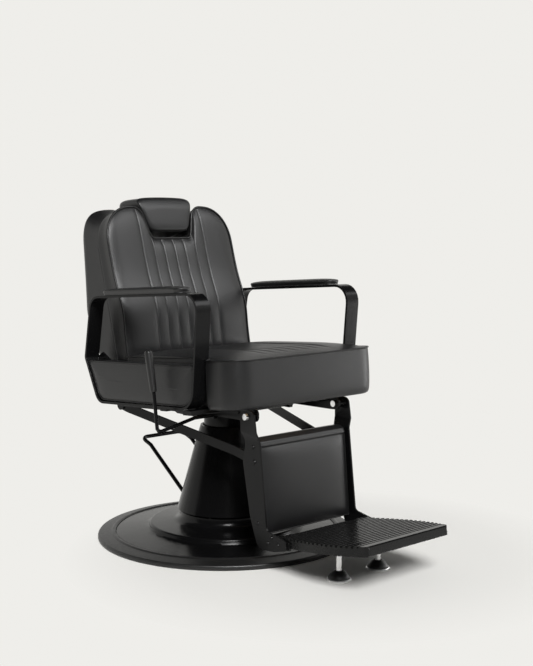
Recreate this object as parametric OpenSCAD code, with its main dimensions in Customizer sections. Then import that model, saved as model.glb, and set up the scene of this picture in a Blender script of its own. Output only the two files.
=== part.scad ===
// Hydraulic barber chair: a reclining seat on a pump column, with a leg rest
// that rises as the back goes down. Millimetres, +Z up, the sitter looks to -Y.
// The origin is the middle of the base on the floor.

/* [Base] */
// Radius of the round base
base_r = 380; // [340:1:420]
// Width of the outer trim ring
trim_w = 52; // [40:1:62]
// Height of the trim ring at its outer edge
trim_h = 15; // [12:1:22]
// Thickness of the floor plate
plate_t = 6; // [4:1:8]
// Radius of the raised flange under the column
flange_r = 229; // [210:1:250]
// Height of the flange rim over the floor
flange_z = 45; // [38:1:55]

/* [Column] */
// Radius of the lower bearing of the pump
bearing_r = 60; // [52:1:70]
// Radius of the chromed ram
ram_r = 28; // [22:1:34]
// Outer radius of the pump cylinder
pump_r = 45; // [42:1:52]
// Radius of the column shroud at its foot
shroud_foot_r = 143; // [135:1:155]
// Radius of the column shroud at its top
shroud_top_r = 77; // [72:1:84]
// Height of the shroud top over the floor
shroud_top_z = 332; // [320:1:338]
// Wall of the shroud
shroud_wall = 3; // [2:0.5:5]
// Travel of the hydraulic lift
lift_travel = 160; // [100:5:170]

/* [Pedal] */
// Diameter of the pedal rod
pedal_rod = 12; // [10:1:15]
// Half width of the pedal bow
pedal_half = 80; // [70:1:90]
// Distance of the pedal tread behind the column axis
pedal_y = 311; // [280:1:330]
// Height of the pedal tread
pedal_z = 258; // [230:1:265]

/* [Seat] */
// Tilt of the seat, front edge up
seat_tilt = 3.8; // [2:0.1:6]
// Height of the underside of the seat over the base axis
seat_z = 415.6; // [410:0.5:425]
// Half width of the seat between the side panels
seat_half = 251; // [235:1:252]
// Half width of the front of the seat, ahead of the arms
nose_half = 272; // [262:1:285]
// Distance of the front of the seat from the column axis
seat_front = 360; // [345:1:370]
// Distance of the rear of the seat from the column axis
seat_rear = 145.5; // [130:0.5:145.5]
// Height of the seat cushion at its seam
seat_t = 131; // [115:1:140]
// Corner radius at the front of the seat
nose_r = 60; // [40:1:75]
// Crown of the seat over its seam
seat_crown = 15; // [6:1:22]

/* [Channels] */
// Spacing of the sewn channels
channel_pitch = 40; // [36:1:42]
// Depth of the sewn channels
channel_d = 5; // [2:0.5:8]

/* [Back] */
// Lean of the back from upright
back_lean = 15.7; // [10:0.1:20]
// Height of the lower edge of the back
back_z = 480; // [474:1:490]
// Distance of the lower front edge of the back behind the axis
back_y = 145.3; // [141:0.1:160]
// Half width of the back
back_half = 236; // [225:1:236]
// Length of the back to the seam of its shoulders
back_h = 510; // [480:1:530]
// Depth of the front cushion of the back
back_pad_t = 55; // [45:1:60]
// Forward swell of the lower back
lumbar = 14; // [0:1:18]
// Depth of the head notch under the shoulders
notch_d = 99; // [85:1:110]
// Half width of the floor of the head notch
notch_half = 78; // [70:1:84]

/* [Headrest] */
// Height of the headrest
head_h = 103; // [80:1:110]
// Gap between the headrest and the floor of its notch
head_gap = 24; // [15:1:35]
// Clearance of the headrest to the sides of its notch
head_clear = 4; // [2:0.5:8]
// Depth of the headrest
head_t = 121; // [110:1:135]
// Diameter of the headrest posts
post_d = 12; // [10:1:14]
// Travel of the headrest
head_travel = 60; // [30:5:80]

/* [Arms] */
// Clear distance between the arms
arm_gap = 518; // [512:1:530]
// Width of the flat steel of the arms
band_w = 47; // [40:1:52]
// Thickness of the flat steel of the arms
band_t = 7; // [5:1:9]
// Thickness of the arm pads
pad_t = 19; // [14:1:24]
// Length of the arm pads
pad_l = 367; // [330:1:375]

/* [Leg rest] */
// Clear distance between the leg rest plates
leg_gap = 336; // [334:1:340]
// Thickness of the leg rest plates
leg_t = 5; // [4:0.5:6]
// Outward step of the plates at their upper ears
leg_step = 10; // [9:0.5:14]
// Half width of the calf pad
calf_half = 160; // [150:1:160]

/* [Footplate] */
// Half width of the footplate at its rear edge
foot_half = 165; // [160:1:167]
// Swell of the footplate sides
foot_bulge = 18; // [8:1:26]
// Spacing of the tread ribs
rib_pitch = 16; // [14:0.5:20]
// Height of the tread ribs
rib_h = 5; // [3:0.5:7]
// Half distance between the levelling feet
level_half = 75; // [60:1:95]
// Radius of the levelling feet
level_r = 32; // [26:1:36]

/* [Linkage] */
// Width of the link bars
link_w = 27; // [22:1:28]
// Thickness of the link bars
link_t = 5; // [4:0.5:6]
// Diameter of the link and leg bolts
bolt_d = 10; // [8:1:12]

/* [Hand lever] */
// Diameter of the lever rod
lever_rod = 10; // [9:0.5:12]
// Length of the lever grip
grip_l = 114; // [90:1:125]

/* [Hidden] */

$fn = 48;
eps = 0.01;
fit = 0.05;      // radial clearance of a running fit
gap = 0.3;       // clearance between seated pieces
black = [0.11, 0.11, 0.12];
leather = [0.16, 0.16, 0.17];
chrome = [0.82, 0.83, 0.85];
rubber = [0.08, 0.08, 0.08];

tilt = tan(seat_tilt);

// Underside of the seat unit at a distance y
function seat_under(y) = seat_z - y * tilt;

// Pivots in the side view, as [y, z]
pin_leg = [-300, 412];
pin_toe = [-320, 291];
crank = pin_leg - pin_toe;
pin_back = [218, 512];
pin_heel = pin_back - crank;
recline_max = 30;

// Planes of the linkage, as distances from the middle of the chair
leg_in = leg_gap / 2;
link_in = leg_in - 1 - link_t;
bracket_in = 152;
bracket_t = 6;
ear_in = leg_in + leg_step;
arm_in = arm_gap / 2;
side_arm_in = back_half + gap;
side_arm_t = 5;
lug_t = 5;

// ---------------------------------------------------------------- helpers

// Corner of a rounded outline: arc points between the two edges that meet at b
function corner(a, b, c, r, n = 7) =
    let (u = (a - b) / norm(a - b), v = (c - b) / norm(c - b),
         half = acos(max(-1, min(1, u * v))) / 2,
         d = r / tan(half),
         m = (u + v) / norm(u + v),
         o = b + m * r / sin(half),
         p = b + u * d, q = b + v * d,
         a0 = atan2(p.y - o.y, p.x - o.x), a1 = atan2(q.y - o.y, q.x - o.x),
         turn = a1 - a0 > 180 ? a1 - a0 - 360 : a1 - a0 < -180 ? a1 - a0 + 360 : a1 - a0)
    r <= 0.01 ? [b] : [for (i = [0:n]) o + r * [cos(a0 + turn * i / n), sin(a0 + turn * i / n)]];

// Outline of corners [y, z, radius] with each corner rounded
function rounded(c, n = 7) =
    let (k = len(c))
    [for (i = [0:k - 1])
        each corner([c[(i + k - 1) % k].x, c[(i + k - 1) % k].y], [c[i].x, c[i].y],
            [c[(i + 1) % k].x, c[(i + 1) % k].y], c[i].z, n)];

// Corners moved inward by t, for an outline that turns clockwise
function inner(c, t) =
    let (k = len(c))
    [for (i = [0:k - 1])
        let (a = c[(i + k - 1) % k], b = c[i], d = c[(i + 1) % k],
             u = [b.x - a.x, b.y - a.y] / norm([b.x - a.x, b.y - a.y]),
             v = [d.x - b.x, d.y - b.y] / norm([d.x - b.x, d.y - b.y]),
             nu = [u.y, -u.x], nv = [v.y, -v.x],
             m = (nu + nv) / norm(nu + nv),
             q = [b.x, b.y] + m * t / (m * nu))
        [q.x, q.y, max(b.z - t, 0.5)]];

// Prism of a side-view outline [y, z] between two distances from the middle
module side_plate(x0, x1, pts) {
    translate([x0, 0, 0])
        rotate([90, 0, 90])
            linear_extrude(x1 - x0)
                polygon(pts);
}

// Prism of an [x, z] outline between two distances along Y
module front_plate(y0, y1, pts) {
    translate([0, y1, 0])
        rotate([90, 0, 0])
            linear_extrude(y1 - y0)
                polygon(pts);
}

// Round bar along X between x0 and x1 at [y, z]
module bar_x(x0, x1, at, r) {
    translate([x0, at.x, at.y])
        rotate([0, 90, 0])
            cylinder(h = x1 - x0, r = r);
}

// Round bar between two points, with a ball at its first end
module rod(a, b, r) {
    d = b - a;
    h = norm(d);
    translate(a)
        rotate([0, acos(d.z / h), atan2(d.y, d.x)])
            cylinder(h = h, r = r);
    translate(a)
        sphere(r * 1.03, $fn = 32);
}

// Copy on the sitter's left of what is drawn on the right
module mirrored(left) {
    mirror([left ? 1 : 0, 0, 0])
        children();
}

// Closed padded solid. Columns xs run across, rows vs run along each column from
// lo(x) to hi(x). face(x, y) and back(x, y) are its two faces, and rings gives
// [inset, height(x, y)] of the bands down its side, from the face to the back.
// warp(p) moves every point once the solid is laid out.
module padded(xs, vs, lo, hi, face, back, rings, warp = function (p) p) {
    nx = len(xs);
    ny = len(vs);
    plan = [for (x = xs) [for (v = vs) [x, lo(x) + (hi(x) - lo(x)) * v]]];
    edge = [for (i = [0:nx - 1]) [i, 0], for (j = [1:ny - 1]) [nx - 1, j],
        for (i = [nx - 2:-1:0]) [i, ny - 1], for (j = [ny - 2:-1:1]) [0, j]];
    ne = len(edge);
    loop = [for (e = edge) plan[e.x][e.y]];
    normals = [for (k = [0:ne - 1])
        let (d = loop[(k + 1) % ne] - loop[(k + ne - 1) % ne], l = max(norm(d), 0.001))
        [-d.y / l, d.x / l]];
    top = [for (c = plan) for (p = c) [p.x, p.y, face(p.x, p.y)]];
    base = [for (c = plan) for (p = c) [p.x, p.y, back(p.x, p.y)]];
    bands = [for (r = rings) for (k = [0:ne - 1])
        let (p = loop[k] + normals[k] * r.x)
        [p.x, p.y, r.y(loop[k].x, loop[k].y)]];
    n0 = nx * ny;
    nr = len(rings);
    at = function (i, j) i * ny + j;
    rim = [for (e = edge) at(e.x, e.y)];
    foot = [for (e = edge) n0 + ne * nr + at(e.x, e.y)];
    row = function (r) r < 0 ? rim : r >= nr ? foot : [for (k = [0:ne - 1]) n0 + r * ne + k];
    faces = [
        for (i = [0:nx - 2]) for (j = [0:ny - 2])
            each [[at(i, j), at(i, j + 1), at(i + 1, j + 1)], [at(i, j), at(i + 1, j + 1), at(i + 1, j)]],
        for (r = [-1:nr - 1]) let (a = row(r), b = row(r + 1)) for (k = [0:ne - 1])
            let (m = (k + 1) % ne)
            each [[a[k], a[m], b[m]], [a[k], b[m], b[k]]],
        for (i = [0:nx - 2]) for (j = [0:ny - 2])
            let (o = n0 + ne * nr)
            each [[o + at(i, j), o + at(i + 1, j + 1), o + at(i, j + 1)],
                [o + at(i, j), o + at(i + 1, j), o + at(i + 1, j + 1)]]];
    polyhedron(points = [for (p = concat(top, bands, base)) warp(p)], faces = faces, convexity = 6);
}

// Mirror a list of half columns about the middle
function both(h) = concat([for (i = [len(h) - 1:-1:0]) if (h[i] > 0) -h[i]], h);

// Depth of the sewn channels across the pad, with n lines a side of the middle
function channel(x, n) =
    let (u = abs(x) / channel_pitch, f = abs(u - round(u)) * channel_pitch)
    round(u) > n || u > n + 0.5 ? 0 : channel_d * max(0, 1 - pow(f / 18, 0.7));

// ---------------------------------------------------------------- base

neck_r = shroud_foot_r - shroud_wall - 4;
hub_z = 28;

module floor_plate() {
    color(black)
        difference() {
            cylinder(h = plate_t, r = base_r - 6);
            for (a = [45:90:315])
                rotate(a)
                    translate([base_r - trim_w - 30, 0, plate_t - 2])
                        cylinder(h = 3, r = 4.5);
        }
}

// Turned hub that carries the pump bearing
module base_hub() {
    color(black)
        rotate_extrude($fn = 96)
            polygon([[bearing_r + fit, plate_t], [bearing_r + 50, plate_t], [bearing_r + 46, plate_t + 10],
                [bearing_r + 18, plate_t + 16], [bearing_r + 14, hub_z + 26], [bearing_r + fit, hub_z + 26]]);
}

// Spun cover: a shallow dish, the flange and the neck under the shroud
cover_pts = [
    [base_r - trim_w - gap, plate_t + gap],
    [base_r - trim_w - gap, trim_h + 3],
    [base_r - trim_w - 5, trim_h + 6],
    [base_r - trim_w - 40, trim_h + 9],
    [flange_r + 20, trim_h + 13],
    [flange_r + 3, flange_z - 15],
    for (a = [0:15:90]) [flange_r - 9 + 9 * cos(a), flange_z - 9 + 9 * sin(a)],
    [neck_r + 45, flange_z + 3],
    for (a = [0:15:75]) [neck_r + 24 - 24 * sin(a), flange_z + 29 - 24 * cos(a)],
    [neck_r, flange_z + 32]];

module base_cover() {
    color(black)
        rotate_extrude($fn = 120)
            polygon(concat(cover_pts, [
                [bearing_r + 20, flange_z + 32], [bearing_r + 20, flange_z + 28],
                [neck_r - 4, flange_z + 28], [neck_r - 4, flange_z + 4],
                [flange_r - 14, flange_z - 5], [flange_r - 4, plate_t + gap]]));
}

module trim_ring() {
    ring_in = base_r - trim_w;
    color(rubber)
        rotate_extrude($fn = 120)
            polygon([
                [base_r - 6 + gap, 0.5], [base_r - 2, 0.5], [base_r, 3], [base_r, trim_h - 5],
                for (a = [0:22.5:90]) [base_r - 6 + 6 * cos(a), trim_h - 6 + 6 * sin(a)],
                [ring_in + 14, trim_h + 5], [ring_in + 8, trim_h + 8], [ring_in + 3, trim_h + 8],
                [ring_in, trim_h + 5], [ring_in, plate_t + gap], [base_r - 6 + gap, plate_t + gap]]);
}

// ---------------------------------------------------------------- column

pedal_pin = [66, 94];
pedal_pin_r = 7;
over_neck = flange_z + 33;

// Pump body with its bearing spigot, thrust collar and pedal bracket
module pump_cylinder() {
    color(black)
        difference() {
            union() {
                rotate_extrude($fn = 96)
                    polygon([[0, plate_t + 2], [bearing_r, plate_t + 2], [bearing_r, hub_z + 26 + gap],
                        [bearing_r + 14, hub_z + 26 + gap], [bearing_r + 14, hub_z + 40],
                        [pump_r + 4, hub_z + 44], [pump_r, hub_z + 52], [pump_r, 318],
                        [pump_r - 3, 322], [0, 322]]);
                translate([-34, 0, over_neck])
                    cube([68, pedal_pin.x + 12, pedal_pin.y + 12 - over_neck]);
                for (a = [30:60:330])
                    rotate(a)
                        translate([pump_r - 5, -4, over_neck])
                            cube([neck_r + 6.5 - pump_r, 8, 12]);
                translate([0, 0, flange_z + 38])
                    difference() {
                        cylinder(h = 3.5, r = shroud_foot_r - shroud_wall - gap);
                        translate([0, 0, -1])
                            cylinder(h = 7, r = pump_r + 26);
                    }
            }
            translate([0, 0, 58])
                cylinder(h = 300, r = ram_r + fit, $fn = 96);
            bar_x(-60, 60, pedal_pin, pedal_pin_r + fit);
            for (s = [-1, 1])
                translate([s * pedal_half - 12, 20, flange_z + 20])
                    cube([24, 160, 120]);
        }
}

slope = (shroud_foot_r - shroud_top_r) / (shroud_top_z - flange_z - 37);

// Conical shroud over the pump, with slots for the two arms of the pedal
module shroud() {
    z0 = flange_z + 37;
    color(black)
        difference() {
            rotate_extrude($fn = 120)
                polygon([
                    [shroud_foot_r - shroud_wall, z0 + 2], [shroud_foot_r - 1, z0], [shroud_foot_r + 1.5, z0 + 2],
                    [shroud_foot_r, z0 + 8],
                    [shroud_top_r + slope * 50, shroud_top_z - 50], [shroud_top_r, shroud_top_z - 6],
                    [shroud_top_r - 2, shroud_top_z], [shroud_top_r - 8, shroud_top_z],
                    [shroud_top_r - 8, shroud_top_z - 4], [shroud_top_r - shroud_wall, shroud_top_z - 8],
                    [shroud_foot_r - shroud_wall, z0 + 8]]);
            for (s = [-1, 1])
                translate([s * pedal_half - 9, 80, z0 - 1])
                    cube([18, 90, pedal_slot_z - z0]);
        }
}

pedal_slot_z = 142;

// Welded foot pedal: a bow of round bar on a cross shaft
module pedal() {
    r = pedal_rod / 2;
    b = 22;
    knee = [pedal_y - 46, pedal_z - 17];
    rise = atan2(pedal_z - knee.y, pedal_y - knee.x);
    run = norm([pedal_y, pedal_z] - knee) - b;
    color(black) {
        bar_x(-pedal_half - r - 3, pedal_half + r + 3, pedal_pin, pedal_pin_r);
        for (s = [-1, 1])
            rod([s * pedal_half, knee.x, knee.y], [s * pedal_half, pedal_pin.x, pedal_pin.y], r);
        translate([0, knee.x, knee.y])
            rotate([rise, 0, 0]) {
                for (s = [-1, 1]) {
                    translate([s * pedal_half, 0, 0])
                        rotate([-90, 0, 0])
                            cylinder(h = run, r = r);
                    translate([s * (pedal_half - b), run, 0])
                        rotate(s > 0 ? 0 : 90)
                            rotate_extrude(angle = 90)
                                translate([b, 0])
                                    circle(r);
                }
                translate([0, run + b, 0])
                    bar_x(b - pedal_half, pedal_half - b, [0, 0], r);
            }
    }
}

head_z = seat_under(0) - 18 - 22;
cover_z = 146;

module ram() {
    color(chrome)
        translate([0, 0, 66])
            cylinder(h = head_z - 66, r = ram_r, $fn = 96);
}

// Sleeve that hides the ram while the seat is up
module ram_cover() {
    color(black)
        difference() {
            cylinder(h = head_z - cover_z - 6, r = shroud_top_r - 12, $fn = 96);
            translate([0, 0, -1])
                cylinder(h = head_z, r = pump_r + 9, $fn = 96);
        }
}

// ---------------------------------------------------------------- underframe

rail_in = 128;
rail_h = 18;
bar_t = 12;
edge_w = 14;
rail_front = -262;
rail_rear = 128;

// Bars under the seat: two rails, a spider on the ram and two cross bars
module underframe() {
    cross_w = arm_in + band_w;
    color(black)
        difference() {
            union() {
                for (s = [0, 1])
                    mirror([s, 0, 0])
                        side_plate(-bracket_in, -rail_in, [
                            [rail_front, seat_under(rail_front)], [rail_rear, seat_under(rail_rear)],
                            [rail_rear, seat_under(rail_rear) - rail_h],
                            [rail_front, seat_under(rail_front) - rail_h]]);
                side_plate(2 - bracket_in, bracket_in - 2, [
                    [-70, seat_under(-70) - 12], [-40, seat_under(-40) - 12], [-40, seat_under(-40) - 2],
                    [40, seat_under(40) - 2], [40, seat_under(40) - 12], [70, seat_under(70) - 12],
                    [70, seat_under(70) - rail_h - 6], [42, head_z], [-42, head_z],
                    [-70, seat_under(-70) - rail_h - 6]]);
                translate([0, 0, head_z - 6])
                    cylinder(h = 14, r = shroud_top_r - 12, $fn = 96);
                side_plate(-cross_w, cross_w, [
                    [-218, seat_under(-218)], [-184, seat_under(-184)],
                    [-184, seat_under(-184) - bar_t], [-218, seat_under(-218) - bar_t]]);
                for (s = [0, 1])
                    mirror([s, 0, 0]) {
                        side_plate(-arm_in, -arm_in + edge_w, [
                            [-218, seat_under(-218)], [184, seat_under(184)],
                            [184, seat_under(184) - bar_t], [-218, seat_under(-218) - bar_t]]);
                        for (y = [-150, 60])
                            bar_x(-arm_in - 2, -arm_in + eps, [y, seat_under(y) - bar_t / 2 - 2], 3);
                    }
                side_plate(-cross_w, cross_w, [
                    [-112, seat_under(-112)], [-84, seat_under(-84)],
                    [-84, seat_under(-84) - 6], [-112, seat_under(-112) - 6]]);
                for (s = [-1, 1])
                    side_plate(s * 145 - 7, s * 145 + 7, [
                        [-130, seat_under(-130) - rail_h], [-102, seat_under(-102) - rail_h],
                        [-106, lever_pin.y - 8], [-126, lever_pin.y - 8]]);
            }
            translate([0, 0, head_z - 20])
                cylinder(h = 20, r = ram_r + gap, $fn = 96);
            bar_x(-160, 160, lever_pin, lever_rod / 2 + fit);
        }
}

bracket_pts = rounded([[-44, seat_under(-44) - bar_t - gap, 3], [-44, seat_under(-44) - 28, 3],
    [pin_leg.x + 16, pin_leg.y - 18, 8], [pin_leg.x - 17, pin_leg.y - 16, 14],
    [pin_leg.x - 17, pin_leg.y + 17, 12], [-258, seat_under(-258) - 2, 10],
    [-236, seat_under(-236) - bar_t - gap, 8]]);

// Tapered plates, bolted outside the rails, that carry the leg rest
module leg_bracket(left) {
    mirrored(left)
        color(black)
            difference() {
                union() {
                    side_plate(-bracket_in - bracket_t, -bracket_in, bracket_pts);
                    for (y = [-64, -236])
                        bar_x(-bracket_in - bracket_t - 3, -bracket_in - bracket_t + eps,
                            [y, seat_under(y) - 17], 6);
                }
                bar_x(-bracket_in - 20, -bracket_in + 20, pin_leg, bolt_d / 2 + fit);
                bar_x(-bracket_in - 20, -bracket_in + 20, lever_pin, lever_rod / 2 + 0.5);
            }
}

// Chromed pivot bolt of the leg rest, with its spacer
module leg_bolt(left) {
    mirrored(left)
        color(chrome) {
            bar_x(-ear_in - leg_t - 4, -bracket_in + 1, pin_leg, bolt_d / 2);
            bar_x(-ear_in + gap, -bracket_in - bracket_t - gap, pin_leg, bolt_d / 2 + 4);
            translate([-ear_in - leg_t - 7, pin_leg.x, pin_leg.y])
                rotate([0, 90, 0])
                    cylinder(h = 6.7, r1 = 8.5, r2 = 10.5);
            translate([-bracket_in + gap, pin_leg.x, pin_leg.y])
                rotate([0, 90, 0])
                    cylinder(h = 7, r = 9);
        }
}

board_t = 12;
board_front = seat_front - 18;
board_rear = 110;
seat_board_half = seat_half - 24;

module seat_board() {
    color([0.45, 0.35, 0.24])
        intersection() {
            side_plate(-seat_board_half, seat_board_half, [
                [-board_front, seat_under(-board_front) + gap],
                [-board_front, seat_under(-board_front) + board_t],
                [board_rear, seat_under(board_rear) + board_t], [board_rear, seat_under(board_rear) + gap]]);
            linear_extrude(2 * seat_z)
                polygon(rounded([
                    [-seat_board_half, -board_front, 40], [-seat_board_half, -122, 10], [-bracket_in + 2, -100, 20],
                    [-bracket_in + 2, board_rear, 10], [bracket_in - 2, board_rear, 10], [bracket_in - 2, -100, 20],
                    [seat_board_half, -122, 10], [seat_board_half, -board_front, 40]]));
        }
}

// ---------------------------------------------------------------- seat

seat_cols = both([0, 7, 20, 33, 40, 47, 60, 73, 80, 87, 100, 113, 120, 127, 145, 175, 205, seat_half - 23,
    seat_half - 8, seat_half - 2, seat_half, seat_half + 2, nose_half - 8, nose_half - 3, nose_half]);
seat_rows = [0, 0.028, 0.09, 0.2, 0.36, 0.54, 0.74, 0.92, 1];
nose_rear = 247;

seat_lo = function (x)
    let (a = abs(x) - (nose_half - nose_r))
    -seat_front + (a > 0 ? nose_r - sqrt(max(0, nose_r * nose_r - a * a)) : 0);
seat_hi = function (x)
    let (a = abs(x) - (seat_half - 14))
    abs(x) > seat_half + 1 ? -nose_rear
    : seat_rear - (a > 0 ? 14 - sqrt(max(0, 196 - a * a)) : 0);
// Height of the top over the seat's underside
seat_top = function (x, y)
    let (u = abs(x) / nose_half, f = (y + seat_front) / (seat_front + seat_rear),
         front = 1 - pow(1 - min(1, max(0, f) / 0.3), 2.4),
         side = 1 - pow(min(1, u), 5),
         rear = 1 - pow(max(0, min(1, (f - 0.6) / 0.4)), 4))
    seat_t + (seat_crown * front * side - channel(x, 3) * min(1, max(0, (f - 0.1) / 0.25))) * rear;
// Underside: a skirt round the seat board, cut away over the links at the rear
function seat_cut(y) = max(0, (y + 104) * 0.23);
seat_low = function (x, y)
    let (in_board = abs(x) < seat_board_half + 2 && y > -board_front - 4)
    in_board ? max(board_t + gap, seat_cut(y)) : seat_cut(y);

module seat_cushion() {
    color(leather)
        translate([0, 0, seat_z + gap])
            rotate([-seat_tilt, 0, 0])
                padded(seat_cols, seat_rows, seat_lo, seat_hi, seat_top, seat_low, [
                    [-1.5, function (x, y) seat_t - 9],
                    [-3, function (x, y) (seat_t + seat_cut(y)) / 2],
                    [0, function (x, y) seat_cut(y) + 9]]);
}

// ---------------------------------------------------------------- arms

// Corners of the outer line of the flat-steel loop, clockwise from the front foot
band = [[-223, seat_under(-223), 60], [-251, 747, 50], [250, 712.5, 45], [283, 530, 20],
    [218, seat_under(218), 40]];
band_in = inner(band, band_t);

// Steel loop of one arm with the lug that carries the back
module arm_frame(left) {
    lug = concat([for (a = [150:20:330]) pin_back + 18 * [cos(a), sin(a)]], [[272, 497], [277, 530], [250, 545]]);
    mirrored(left)
        color(black)
            difference() {
                union() {
                    difference() {
                        side_plate(-arm_in - band_w, -arm_in, rounded(band));
                        side_plate(-arm_in - band_w - 1, -arm_in + 1, rounded(band_in));
                    }
                    side_plate(-arm_in - lug_t, -arm_in + 0, lug);
                    bar_x(-arm_in - lug_t - 4, -side_arm_in - side_arm_t - gap, pin_back, 12);
                }
                bar_x(-arm_in - 30, -arm_in + 60, pin_back, bolt_d / 2 + fit);
            }
}

panel_t = arm_in + band_w - 6;
panel_in = arm_in + lug_t + 5;
panel_top_f = 553;
panel_top_r = 523;
// Corners of the side panel inside the foot of the loop
function on_line(a, b, z) = a.x + (b.x - a.x) * (z - a.y) / (b.y - a.y);
panel = [[band_in[0].x + 0.6, band_in[0].y + 0.6, 60 - band_t + 2],
    [on_line(band_in[0], band_in[1], panel_top_f) + 0.6, panel_top_f, 6],
    [on_line(band_in[4], band_in[3], panel_top_r) - 0.6, panel_top_r, 6],
    [band_in[4].x - 0.6, band_in[4].y + 0.6, 40 - band_t + 2]];

// Padded side panel: its outline drawn in towards the outer face
module side_panel(left) {
    pts = rounded(panel, 5);
    n = len(pts);
    mid = [20, 478];
    drop = function (d) [for (p = pts) mid + [(p.x - mid.x) * (1 - d / 240), (p.y - mid.y) * (1 - d / 60)]];
    steps = [[panel_in, 3], [panel_in + 4, 0], [panel_t - 10, 0], [panel_t - 3, 1.5], [panel_t, 5], [panel_t + 3, 22]];
    k = len(steps);
    mirrored(left)
        color(leather)
            polyhedron(
                points = [for (s = steps) each [for (p = drop(s.y)) [-s.x, p.x, p.y]],
                    [-panel_t - 4, mid.x, mid.y], [-panel_in, mid.x, mid.y]],
                faces = [
                    for (r = [0:k - 2]) for (i = [0:n - 1]) let (m = (i + 1) % n)
                        each [[r * n + i, (r + 1) * n + m, r * n + m], [r * n + i, (r + 1) * n + i, (r + 1) * n + m]],
                    for (i = [0:n - 1]) let (m = (i + 1) % n)
                        each [[(k - 1) * n + i, k * n, (k - 1) * n + m], [i, m, k * n + 1]]],
                convexity = 4);
}

pad_y = 9;
pad_tilt = atan((band[1].y - band[2].y) / (band[2].x - band[1].x));
pad_z = (band[1].y + band[2].y) / 2 + gap;
pad_hw = 27;
pad_half = pad_l / 2;
function pad_end(x, s) = pad_y + s * (pad_half - pad_hw + sqrt(max(0, pow(pad_hw + 0.5, 2) - x * x)));

// Slim armrest pad, crowned, with round ends
module arm_pad(left) {
    mirrored(left)
        color(rubber)
            translate([-arm_in - band_w / 2, 0, pad_z])
                rotate([-pad_tilt, 0, 0])
                    padded(both([0, 12, 20, 25, pad_hw]), [0, 0.02, 0.06, 0.2, 0.5, 0.8, 0.94, 0.98, 1],
                        function (x) pad_end(x, -1), function (x) pad_end(x, 1),
                        function (x, y) let (e = abs(x) / pad_hw, f = abs(y - pad_y) / pad_half)
                            pad_t - 6 * pow(e, 3) - 5 * pow(f, 8),
                        function (x, y) gap,
                        [[-0.5, function (x, y) pad_t / 2], [1.5, function (x, y) 2]]);
}

// ---------------------------------------------------------------- back

// Places what is drawn as [x, depth, height along the back]
module on_back() {
    translate([0, back_y, back_z])
        rotate([-back_lean, 0, 0])
            children();
}
// A point of the side view in the frame of the back, as [depth, height]
function in_back(p) =
    let (d = p - [back_y, back_z])
    [d.x * cos(back_lean) - d.y * sin(back_lean), d.x * sin(back_lean) + d.y * cos(back_lean)];

shoulder_x = 128;
notch_s = back_h - notch_d;
notch_top = notch_half + 20;
back_drop = 110;

// Seam of the back: notch floor, flared notch wall, then the shoulder
back_hi = function (x)
    let (a = abs(x), r = 14)
    a <= notch_half - r ? notch_s
    : a <= notch_half + 4 ? notch_s + r - sqrt(max(0, r * r - pow(min(r, a - notch_half + r), 2)))
        + max(0, a - notch_half) * 1.2
    : a <= notch_top ? notch_s + r + 5 + (back_h - 18 - notch_s - r - 5) * (a - notch_half - 4) / (notch_top - notch_half - 4)
    : a <= shoulder_x ? back_h - 18 * pow((shoulder_x - a) / (shoulder_x - notch_top), 2)
    : back_h - back_drop + back_drop * sqrt(max(0, 1 - pow((a - shoulder_x) / (back_half - shoulder_x), 2.5)));
back_lo = function (x)
    let (a = abs(x) - (back_half - 16))
    a > 0 ? 16 - sqrt(max(0, 256 - a * a)) : 0;
// Lower edge of the front cushion, over the seat it swings past
pad_lo = function (x) back_lo(x) + 24;
function swell(s) = lumbar * exp(-pow((s - 200) / 75, 2)) - 6 * exp(-pow(s / 60, 2));

back_cols = both([0, 7, 20, 33, 40, 47, 58, notch_half - 14, notch_half - 5, notch_half + 4,
    87, 95, notch_top, 113, 120, 127, 150, 175, 200, 220, 231, back_half]);
back_rows = [0, 0.03, 0.12, 0.26, 0.4, 0.55, 0.7, 0.85, 0.96, 1];

// Front of the back over the plane of its seam, forwards
back_face = function (x, s)
    let (u = abs(x) / back_half, v = s / max(1, back_hi(x)),
         e = (1 - pow(u, 5)) * (1 - pow(abs(2 * v - 1), 7)),
         open = min(1, max(0, s - 20) / 60))
    back_skin + swell(s) + (13 * e - channel(x, 3) * min(1, (1 - pow(abs(2 * v - 1), 12)) * 3)) * open;
back_skin = 0;

module back_cushion() {
    color(leather)
        on_back()
            rotate([90, 0, 0])
                padded(back_cols, back_rows, pad_lo, back_hi, back_face,
                    function (x, s) -back_pad_t,
                    [[-1.5, function (x, s) swell(s) - 7],
                        [1, function (x, s) (swell(s) - back_pad_t) / 2],
                        [0, function (x, s) 4 - back_pad_t]]);
}

// Depth of the rear of the shell behind the seam plane
function shell_depth(s) =
    s < 230 ? 128 + 66 * (1 - pow(1 - s / 230, 1.6))
    : 194 - 46 * (s - 230) / 200 - 30 * pow(max(0, s - back_h + 50) / 50, 5);
// The top stays level towards the rear although the back leans
function shell_rise(p) = 0.35 * max(0, p.z - 60) * pow(max(0, p.y) / back_h, 4);
shell_round = 30;
shell_crown = 3;
shell_cols = both([0, 40, notch_half - 14, notch_half - 5, notch_half, notch_half + 4, 90, notch_top,
    113, 128, 150, 175, 194, 208, 220, 229, back_half]);
shell_face = function (x, s)
    let (a = max(0, abs(x) - (back_half - shell_round)) / shell_round,
         b = max(0, s - (back_hi(x) - 16)) / 16, c = max(0, 24 - s) / 24,
         r = shell_round * (1 - sqrt(max(0, 1 - a * a))))
    max(back_pad_t + 10, shell_depth(s) - shell_crown * pow(x / back_half, 2) - r - 9 * b * b - 10 * c * c);

post_t = 88;
post_x = 42;

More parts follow.
